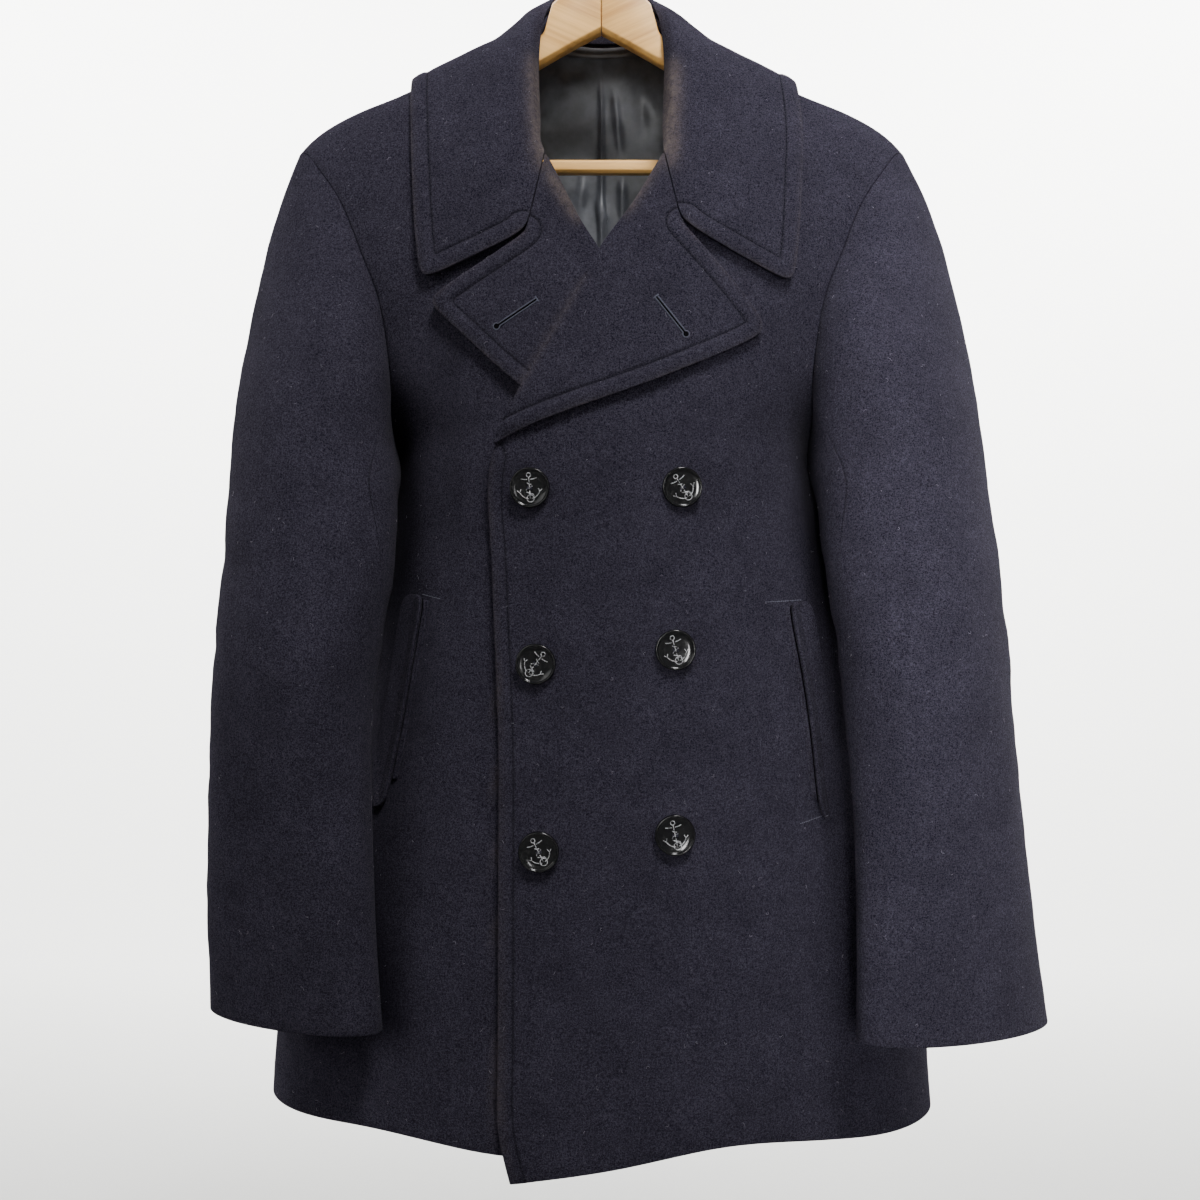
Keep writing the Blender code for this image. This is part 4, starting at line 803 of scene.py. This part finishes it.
def caster(names, stage="_sheet"):
    """A tree for casting rays at these sheets."""
    points, faces = [], []
    for name in names:
        mesh = MADE[name + stage]
        first = len(points)
        points.extend(v.co.copy() for v in mesh.vertices)
        faces.extend([i + first for i in polygon.vertices] for polygon in mesh.polygons)
    return BVHTree.FromPolygons(points, faces)


def laid(tree, places, lift=0.0):
    """Points and normals of the sheets that are seen from the front at these places, lifted off them."""
    points, normals = [], []
    for x, z in places:
        spot, normal, _, _ = tree.ray_cast(Vector((x, -1.0, z)), Vector((0, 1, 0)))
        if spot is None:
            raise ValueError(f"no cloth at {x:.4f}, {z:.4f}")
        if normal.y > 0:
            normal.negate()
        points.append(spot + normal * lift)
        normals.append(normal)
    return np.array(points), np.array(normals)


def welt_edge(side):
    """The edge of a pocket's welt beside its opening, from the top down."""
    outline = outline_of(MADE[f"welt_{side}_sheet"])
    away = 1 if side == "right" else -1
    top = max(outline, key=lambda p: p.z - away * p.x)
    bottom = max(outline, key=lambda p: -p.z - 3 * away * p.x)
    return run_along(outline, top, (top + bottom) / 2, bottom)


# ------------------------------------------------------------------ thread
def basis(forward, normal):
    """The side and up of a line that runs this way over a surface."""
    side = np.cross(forward, normal)
    side /= np.linalg.norm(side)
    up = np.cross(side, forward)
    return side, up / np.linalg.norm(up)


def directions(points, closed=False):
    """The way that a line runs at each of its points."""
    forward = np.roll(points, -1, axis=0) - np.roll(points, 1, axis=0) if closed else np.gradient(points, axis=0)
    return forward / np.linalg.norm(forward, axis=1, keepdims=True)


def tube(points, normals, radius, sides=6, closed=False):
    """Points and faces of a tube along a line; the radius may change along it."""
    points = np.asarray(points, float)
    count = len(points)
    angles = np.linspace(0, 2 * math.pi, sides, endpoint=False)
    rings = []
    for point, way, normal, r in zip(points, directions(points, closed), normals, np.broadcast_to(radius, count)):
        side, up = basis(way, normal)
        rings.append(point + r * (np.cos(angles)[:, None] * side + np.sin(angles)[:, None] * up))
    faces = []
    for k in range(count if closed else count - 1):
        for s in range(sides):
            t = (s + 1) % sides
            a, b = k * sides, (k + 1) % count * sides
            faces.append((a + s, b + s, b + t, a + t))
    if not closed:
        faces.append(tuple(range(sides)))
        faces.append(tuple(range(count * sides - 1, (count - 1) * sides - 1, -1)))
    return np.concatenate(rings), faces


class Pile:
    """Many small shapes gathered into one mesh."""

    def __init__(self):
        self.points = []
        self.faces = []

    def add(self, points, faces):
        first = len(self.points)
        self.points.extend(np.asarray(points).tolist())
        self.faces.extend([tuple(i + first for i in face) for face in faces])

    def make(self, name, material, slot):
        """Makes the shapes one piece with its faces outwards."""
        mesh = bpy.data.meshes.new(name)
        mesh.from_pydata(self.points, [], self.faces)
        mesh.update()
        piece = object_of(name, mesh, material)
        only(piece)
        bpy.ops.object.mode_set(mode="EDIT")
        bpy.ops.mesh.select_all(action="SELECT")
        bpy.ops.mesh.normals_make_consistent(inside=False)
        bpy.ops.object.mode_set(mode="OBJECT")
        bpy.ops.object.shade_smooth()
        declare(piece)
        return piece


def sew(pile, line, seed, pitch, length, radius, sunk=0.25):
    """A row of stitches along a line, each arched and sunk a little into the cloth."""
    points, normals = resampled(*line, pitch)
    chance = random.Random(seed)
    shape = np.array([-0.5, -0.38, -0.15, 0.15, 0.38, 0.5])
    thick = np.array([0.25, 0.8, 1.0, 1.0, 0.8, 0.25])
    arch = np.array([-0.9, -0.3, 0.25, 0.25, -0.3, -0.9])
    for point, way, normal in zip(points, directions(points), normals):
        side, up = basis(way, normal)
        turned = way + side * chance.uniform(-0.09, 0.09)
        size = length * chance.uniform(0.88, 1.08)
        middle = point - up * radius * sunk + side * chance.uniform(-1, 1) * radius * 0.35
        stitch = middle + shape[:, None] * size * turned + (arch * radius)[:, None] * up
        pile.add(*tube(stitch, [up] * len(stitch), radius * thick, 5))


# ------------------------------------------------------------------ operators: cloth
class PEACOAT_OT_coat(bpy.types.Operator):
    """Makes the wool of the fronts, back, sleeves, lapels and collar"""

    bl_idname = "peacoat.coat"
    bl_label = "Coat"

    def execute(self, context):
        for node, (facing, wall, _) in CLOTH.items():
            MADE[node + "_cut"] = facing_sheet(node, facing, wall)
        wool = melton_wool()
        for node, (_, wall, _) in CLOTH.items():
            if wall.slot == "melton_wool":
                build_cloth(node, wool)
        return {"FINISHED"}


class PEACOAT_OT_lining(bpy.types.Operator):
    """Makes the satin lining and the loop at the back of the neck"""

    bl_idname = "peacoat.lining"
    bl_label = "Lining"

    def execute(self, context):
        material = satin()
        build_cloth("lining_back", material)
        build_cloth("hang_loop", material)
        return {"FINISHED"}


class PEACOAT_OT_pockets(bpy.types.Operator):
    """Opens the pockets beside their welts as black strips of painted shade and folds narrow jettings along each"""

    bl_idname = "peacoat.pockets"
    bl_label = "Pockets"

    def execute(self, context):
        # Painted shade: a near-black strip lies on the cloth where each pocket opens.
        gap = plain("pocket_slit_painted_shade", (0.0015, 0.0015, 0.002), 0.95)
        slits, folds = Pile(), Pile()
        tree = caster(["front_over", "front_under"])
        for side, way in (("left", 1), ("right", -1)):
            edge = dense(welt_edge(side), 0.004)[2:-3]
            rows = [laid(tree, [(p.x + way * shift, p.z) for p in edge], SLIT_LIFT)[0] for shift in SLIT_SIDES]
            last = len(edge)
            slits.add(np.vstack(rows), [(k, k + 1, last + k + 1, last + k) for k in range(last - 1)])
            for shift, radius in JETTINGS:
                line = laid(tree, [(p.x + way * shift, p.z) for p in edge[1:-1]], radius * 0.15)
                folds.add(*tube(*line, radius, 10))
        slits.make("pocket_slit_shade_strip", gap, "melton_wool")
        jetting = folds.make("pocket_jetting", bpy.data.materials["melton_wool_cloth"], "melton_wool")
        # A groove of 1 keeps the jetting free of the groove's painted shade.
        store(jetting.data, "groove", np.ones(len(jetting.data.vertices)))
        return {"FINISHED"}


class PEACOAT_OT_stitching(bpy.types.Operator):
    """Sews the topstitching, the pocket ends and the cuffs' faint rows"""

    bl_idname = "peacoat.stitching"
    bl_label = "Stitching"

    def execute(self, context):
        sewing = context.scene.pea_coat_sewing
        dark, pale = Pile(), Pile()
        for number, line in enumerate(STITCH_LINES):
            sew(dark, line, number, sewing.stitch_pitch, sewing.stitch_length, sewing.thread_radius)
        tree = caster(["front_over", "front_under", "welt_left", "welt_right"])
        for number, (start, end) in enumerate(STITCHED_ROWS, 50):
            row = [np.array(start) * (1 - t) + np.array(end) * t for t in np.linspace(0, 1, 24)]
            sew(pale, laid(tree, row), number, *POCKET_SEWING)
        for side, level in CUFF_ROWS:
            mesh = MADE[f"top_sleeve_{side}_sheet"]
            sew(dark, level_line(mesh, points_of(mesh)[:, 2], level), 90, *CUFF_SEWING)
        dark.make("topstitching", plain("dark_thread", (0.0060, 0.0055, 0.0095), 0.75), "melton_wool")
        pale.make("pocket_stitching", plain("pale_thread", (0.110, 0.114, 0.142), 0.60), "melton_wool")
        return {"FINISHED"}


class PEACOAT_OT_buttonholes(bpy.types.Operator):
    """Works a keyhole buttonhole with a corded edge in each lapel, its slit a black fan of painted shade"""

    bl_idname = "peacoat.buttonholes"
    bl_label = "Buttonholes"

    def execute(self, context):
        radius = context.scene.pea_coat_sewing.cord_radius
        cord, slit = Pile(), Pile()
        for node, start, end in BUTTONHOLES:
            tree = caster([node])
            start, end = np.array(start), np.array(end)
            way = (end - start) / np.linalg.norm(end - start)
            side = np.array([-way[1], way[0]])
            neck = end - way * math.sqrt(HOLE_EYE**2 - HOLE_HALF**2)
            wide = math.pi - math.asin(HOLE_HALF / HOLE_EYE)
            turn = np.linspace(wide, -wide, 16)
            eyelet = [end + HOLE_EYE * (math.cos(a) * way + math.sin(a) * side) for a in turn]
            up = [start + HOLE_HALF * side + (neck - start) * t for t in np.linspace(0, 1, 18)[:-1]]
            back = [start - HOLE_HALF * side + (neck - start) * t for t in np.linspace(1, 0, 18)[1:]]
            ring = np.array(up + eyelet + back)
            points, normals = laid(tree, ring)
            points, normals = resampled(np.vstack([points, points[:1]]), np.vstack([normals, normals[:1]]), 0.00042)
            beads = radius * (1 + 0.16 * np.where(np.arange(len(points)) % 2, 1, -1))
            cord.add(*tube(points + normals * radius * 0.25, normals, beads, 7, True))
            bar = [start + side * s for s in np.linspace(-HOLE_BAR, HOLE_BAR, 7)]
            cord.add(*tube(*laid(tree, bar, 0.0002), 0.0005, 7))
            # Painted shade: a near-black fan lies on the cloth inside the corded ring.
            last = len(ring)
            flat, _ = laid(tree, np.vstack([ring, [(start + neck) / 2]]), 0.00040)
            slit.add(flat, [(k, (k + 1) % last, last) for k in range(last)])
        thread = plain("buttonhole_thread", (0.064, 0.066, 0.088), 0.60, 0.4, 2600)
        cord.make("buttonhole_cord", thread, "melton_wool")
        gap = plain("buttonhole_slit_painted_shade", (0.0025, 0.0025, 0.003), 0.95)
        slit.make("buttonhole_slit_shade_fan", gap, "melton_wool")
        return {"FINISHED"}


class PEACOAT_OT_lint(bpy.types.Operator):
    """Scatters short pale fibres over the wool"""

    bl_idname = "peacoat.lint"
    bl_label = "Lint"

    def execute(self, context):
        spots = []
        for node, (_, wall, _) in CLOTH.items():
            if wall.slot == "melton_wool" and node != "collar_stand":
                for polygon in MADE[node + "_sheet"].polygons:
                    spots.append((polygon.area, polygon.center.copy(), polygon.normal.copy()))
        chance = random.Random(7)
        count = context.scene.pea_coat_cloth.lint_count
        pile = Pile()
        for _, centre, normal in chance.choices(spots, weights=[area for area, _, _ in spots], k=count):
            across = normal.orthogonal().normalized()
            other = normal.cross(across)
            centre = centre + across * chance.uniform(-0.002, 0.002) + other * chance.uniform(-0.002, 0.002)
            angle = chance.uniform(0, 2 * math.pi)
            bend = chance.uniform(-9, 9)
            length = chance.choice((0.0009, 0.0014, 0.002, 0.0032)) * chance.uniform(0.8, 1.2)
            points = []
            for t in np.linspace(-0.5, 0.5, 5):
                turned = angle + bend * t * 0.25
                flat = across * math.cos(turned) + other * math.sin(turned)
                points.append(np.array(centre + flat * t * length + normal * (0.00016 + 0.0003 * (0.25 - t * t))))
            radius = chance.uniform(0.000045, 0.000085)
            pile.add(*tube(points, [np.array(normal)] * 5, radius, 3))
        pile.make("lint", plain("lint_fibre", (0.21, 0.20, 0.235), 0.8), "melton_wool")
        return {"FINISHED"}


# ------------------------------------------------------------------ operators: hard pieces
def spun(profile, steps):
    """A mesh spun round Z in edit mode from (radius, height) points that start and end on the axis."""
    bpy.ops.object.select_all(action="DESELECT")
    bpy.ops.mesh.primitive_plane_add(size=0.001)
    obj = bpy.context.object
    bpy.ops.object.mode_set(mode="EDIT")
    bpy.ops.mesh.select_all(action="SELECT")
    bpy.ops.mesh.merge(type="CENTER")
    first = Vector((profile[0][0], 0, profile[0][1]))
    bpy.ops.transform.translate(value=first)
    for (r1, h1), (r2, h2) in zip(profile, profile[1:]):
        bpy.ops.mesh.extrude_region_move(TRANSFORM_OT_translate={"value": (r2 - r1, 0, h2 - h1)})
    bpy.ops.mesh.select_all(action="SELECT")
    bpy.ops.mesh.spin(steps=steps, angle=2 * math.pi, center=(0, 0, 0), axis=(0, 0, 1))
    bpy.ops.mesh.select_all(action="SELECT")
    bpy.ops.mesh.remove_doubles(threshold=2e-6)
    bpy.ops.mesh.normals_make_consistent(inside=False)
    bpy.ops.object.mode_set(mode="OBJECT")
    return obj


def arc(cx, cy, radius, start, end, count=12):
    angles = np.radians(np.linspace(start, end, count))
    return [(cx + radius * math.cos(a), cy + radius * math.sin(a)) for a in angles]


def anchor_lines():
    """The engraved anchor and its rope, as lines on the button's face in millimetres."""
    return [
        arc(0, 8.6, 1.45, 0, 360, 16),
        [(0, 7.1), (0, 3.4)],
        [(0, 2.6), (0, -1.2)],
        [(0, -2.2), (0, -7.6)],
        [(-5.6, 6.3), (-3.5, 5.7), (-1.1, 5.5)],
        [(1.1, 5.5), (3.5, 5.7), (5.6, 6.3)],
        arc(0, -0.4, 7.4, 205, 262, 14),
        arc(0, -0.4, 7.4, 278, 335, 14),
        [(-8.7, -1.7), (-6.9, -3.3), (-6.1, -1.0)],
        [(8.7, -1.7), (6.9, -3.3), (6.1, -1.0)],
        [(-1.5, 3.3), (-0.3, 2.4), (1.5, 1.9)],
        [(2.2, 0.9), (0.6, 0.1), (-1.5, -0.7), (-2.5, -1.9)],
        [(-2.3, -3.0), (-0.4, -3.9), (2.2, -4.7), (2.9, -6.4)],
        arc(0.2, -7.6, 2.5, 20, 380, 24),
    ]


def button_frame(node):
    """A button's own place: its back's middle, and a matrix whose Z is the way it faces."""
    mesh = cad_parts[node].data
    points = np.unique(np.round(points_of(mesh), 6), axis=0)
    centre = (points.min(axis=0) + points.max(axis=0)) / 2
    axis = sum((p.normal * p.area for p in mesh.polygons if p.normal.y < -0.75), Vector()).normalized()
    heights = (points - centre) @ np.array(axis)
    up = (Vector((0, 0, 1)) - axis * axis.z).normalized()
    place = Matrix((up.cross(axis), up, axis)).transposed().to_4x4()
    place.translation = Vector(centre) + axis * heights.min()
    return place


def drawn(place, line, height, radius, sides):
    """A raised line on a button's face; the line is in millimetres."""
    flat = np.array([(x, y, height) for x, y in line]) * MM
    points, faces = tube(flat, [(0, 0, 1)] * len(flat), radius, sides)
    return [place @ Vector(p) for p in points], faces


class PEACOAT_OT_buttons(bpy.types.Operator):
    """Turns the black buttons, with an engraved anchor, four holes of painted shade and their thread"""

    bl_idname = "peacoat.buttons"
    bl_label = "Buttons"

    def execute(self, context):
        hard = context.scene.pea_coat_hard
        gloss = black_button()
        paint = plain("anchor_fill", (0.26, 0.26, 0.27), 0.50, 0.85, 900, shine=0.3)
        thread = plain("button_thread", (0.026, 0.025, 0.036), 0.65)
        scale = hard.button_radius / BUTTON_SIZE
        master = spun([(r * MM * scale, h * MM) for r, h in BUTTON_PROFILE], 64)
        lines, sewn, holes = Pile(), Pile(), Pile()
        for node, lean in ANCHOR_LEAN.items():
            place = button_frame(node) @ Matrix.Rotation(math.radians(lean), 4, "Z")
            mesh = master.data.copy()
            mesh.transform(place)
            piece = object_of(node + "_turned", mesh, gloss)
            only(piece)
            bpy.ops.object.shade_smooth_by_angle(angle=math.radians(50))
            declare(piece, node)
            for line in anchor_lines():
                lines.add(*drawn(place, line, ANCHOR_HEIGHT, hard.line_radius, 6))
            # Painted shade: each hole is a flat near-black disc on the button's face.
            for x, y in HOLE_PLACES:
                ring = arc(x, y, HOLE_RADIUS, 0, 360, 13)[:-1]
                holes.add([place @ Vector((u * MM, v * MM, HOLE_HEIGHT * MM)) for u, v in ring], [tuple(range(12))])
            for x in (-1.25, 1.25):
                for shift in (-0.22, 0.22):
                    line = [(x + shift, 0.95), (x + shift * 1.6, 0.2), (x + shift * 1.6, -0.9), (x + shift, -1.65)]
                    sewn.add(*drawn(place, line, THREAD_HEIGHT, BUTTON_THREAD, 7))
        only(master)
        bpy.ops.object.delete()
        lines.make("anchor_lines", paint, "black_button")
        sewn.make("button_threads", thread, "melton_wool")
        holes.make("button_hole_shade_disc", plain("button_hole_painted_shade", (0.002, 0.002, 0.002), 0.9), "black_button")
        return {"FINISHED"}


def dressed_copy(node, name, material, bevel=0.0, levels=0, grow=0.0):
    """A welded copy of a CAD node with bevelled edges, or grown a little and subdivided."""
    bm = welded(node, 1e-5)
    bmesh.ops.dissolve_limit(bm, angle_limit=math.radians(1), verts=bm.verts, edges=bm.edges)
    if levels:
        squared(bm)
        bm.normal_update()
        for vertex in bm.verts:
            vertex.co += vertex.normal * grow
    piece = object_of(name, mesh_of(bm, name), material)
    if bevel:
        modify(piece, "BEVEL", width=bevel, segments=3, limit_method="ANGLE", angle_limit=math.radians(20))
    if levels:
        modify(piece, "SUBSURF", levels=levels, render_levels=levels)
    bpy.ops.object.shade_smooth_by_angle(angle=math.radians(35))
    declare(piece, node)


class PEACOAT_OT_hanger(bpy.types.Operator):
    """Makes the hanger's mitred arms, its bar and its hook"""

    bl_idname = "peacoat.hanger"
    bl_label = "Hanger"

    def execute(self, context):
        for side, turn in (("left", -0.42), ("right", 0.42)):
            wood = pale_wood(f"wood_arm_{side}", turn)
            dressed_copy(f"hanger_arm_{side}", f"arm_{side}", wood, 0.0010)
        dressed_copy("hanger_bar", "trouser_bar", pale_wood("wood_bar", 0.0), 0.0006)
        steel = plain("polished_steel", (0.62, 0.62, 0.63), 0.16, 0.06, 300, 1.0, 0.5)
        dressed_copy("hanger_hook", "hook_wire", steel, levels=2, grow=0.00018)
        return {"FINISHED"}


# ------------------------------------------------------------------ stage
def area_light(name, place, aim, width, height, power, spread):
    bpy.ops.object.light_add(type="AREA", location=place)
    light = bpy.context.object
    light.name = name
    light.data.shape = "RECTANGLE"
    light.data.size = width
    light.data.size_y = height
    light.data.energy = power
    light.data.spread = math.radians(spread)
    light.rotation_euler = (Vector(aim) - Vector(place)).to_track_quat("-Z", "Y").to_euler()


def pale_paper(tint):
    """Matt paper, a little uneven, darker in front of the coat, with painted shade darkening it towards the floor."""
    made = Finish("pale_paper")
    pale = made.mix(made.noise(3.0, 3), tuple(c * 0.975 for c in tint), tint)
    split = made.node("SeparateXYZ", Vector=made.coords)
    behind = made.ramp(made.sums("MULTIPLY_ADD", split.outputs["Y"], 0.25, 0.0), (0.0, 0.0), (0.45, 1.0))
    pale = made.mix(behind, tuple(c * 0.26 for c in tint), pale)
    # Painted shade: the paper's colour darkens towards the floor.
    floor_shade = made.ramp(made.sums("MULTIPLY_ADD", split.outputs["Z"], 0.8, 1.08), (0.0, 0.64), (1.0, 1.0))
    return made.shaded(Base_Color=made.mix(1.0, pale, floor_shade, "MULTIPLY"), Roughness=0.9)


class PEACOAT_OT_stage(bpy.types.Operator):
    """Sets the floor, the backdrop, the lights and the camera"""

    bl_idname = "peacoat.stage"
    bl_label = "Stage"

    def execute(self, context):
        stage = context.scene.pea_coat_stage
        floor = stage.floor_z
        foot = arc(FLOOR_RADIUS, floor + FOOT_RADIUS, FOOT_RADIUS, -82, 0, 14)
        wall = (FLOOR_RADIUS + FOOT_RADIUS, floor + WALL_HEIGHT)
        bowl = spun([(0.0, floor), (FLOOR_RADIUS, floor), *foot, wall], 96)
        bowl.name = "backdrop"
        bpy.ops.object.shade_smooth()
        bowl.data.materials.append(pale_paper(tuple(stage.paper_colour)))
        world = bpy.data.worlds.new("studio")
        world.use_nodes = True
        background = world.node_tree.nodes["Background"]
        background.inputs["Color"].default_value = (0.93, 0.96, 1.0, 1)
        background.inputs["Strength"].default_value = 0.30
        context.scene.world = world
        for name, (place, aim, width, height, share, spread) in LIGHTS.items():
            area_light(name, place, aim, width, height, stage.key_power * share, spread)
        place = (CAMERA_X, -stage.camera_distance, stage.camera_z)
        bpy.ops.object.camera_add(location=place, rotation=(math.pi / 2, 0, 0))
        camera = bpy.context.object
        camera.data.sensor_width = 36
        camera.data.lens = CAMERA_LENS
        context.scene.camera = camera
        return {"FINISHED"}


class PEACOAT_PT_panel(bpy.types.Panel):
    """Lists the sizes, the colours and the steps"""

    bl_idname = "PEACOAT_PT_panel"
    bl_label = "Pea coat"
    bl_space_type = "VIEW_3D"
    bl_region_type = "UI"
    bl_category = "Pea coat"

    def draw(self, context):
        for group, _ in GROUPS:
            settings = getattr(context.scene, group)
            box = self.layout.box()
            for name in settings.bl_rna.properties.keys():
                if name not in ("rna_type", "name"):
                    box.prop(settings, name)
        for operator in STEPS:
            self.layout.operator(operator.bl_idname)


GROUPS = (
    ("pea_coat_cloth", PeaCoatCloth),
    ("pea_coat_sewing", PeaCoatSewing),
    ("pea_coat_hard", PeaCoatHard),
    ("pea_coat_stage", PeaCoatStage),
)
STEPS = (
    PEACOAT_OT_coat,
    PEACOAT_OT_lining,
    PEACOAT_OT_pockets,
    PEACOAT_OT_stitching,
    PEACOAT_OT_buttonholes,
    PEACOAT_OT_lint,
    PEACOAT_OT_buttons,
    PEACOAT_OT_hanger,
    PEACOAT_OT_stage,
)


def register():
    for name, group in GROUPS:
        bpy.utils.register_class(group)
        setattr(bpy.types.Scene, name, PointerProperty(type=group))
    for item in (*STEPS, PEACOAT_PT_panel):
        bpy.utils.register_class(item)


def unregister():
    for item in (PEACOAT_PT_panel, *reversed(STEPS)):
        bpy.utils.unregister_class(item)
    for name, group in reversed(GROUPS):
        delattr(bpy.types.Scene, name)
        bpy.utils.unregister_class(group)


def main():
    register()
    bpy.ops.object.select_all(action="DESELECT")
    bpy.ops.peacoat.coat()
    bpy.ops.peacoat.lining()
    bpy.ops.peacoat.pockets()
    bpy.ops.peacoat.stitching()
    bpy.ops.peacoat.buttonholes()
    bpy.ops.peacoat.lint()
    bpy.ops.peacoat.buttons()
    bpy.ops.peacoat.hanger()
    bpy.ops.peacoat.stage()


if __name__ == "__main__":
    main()
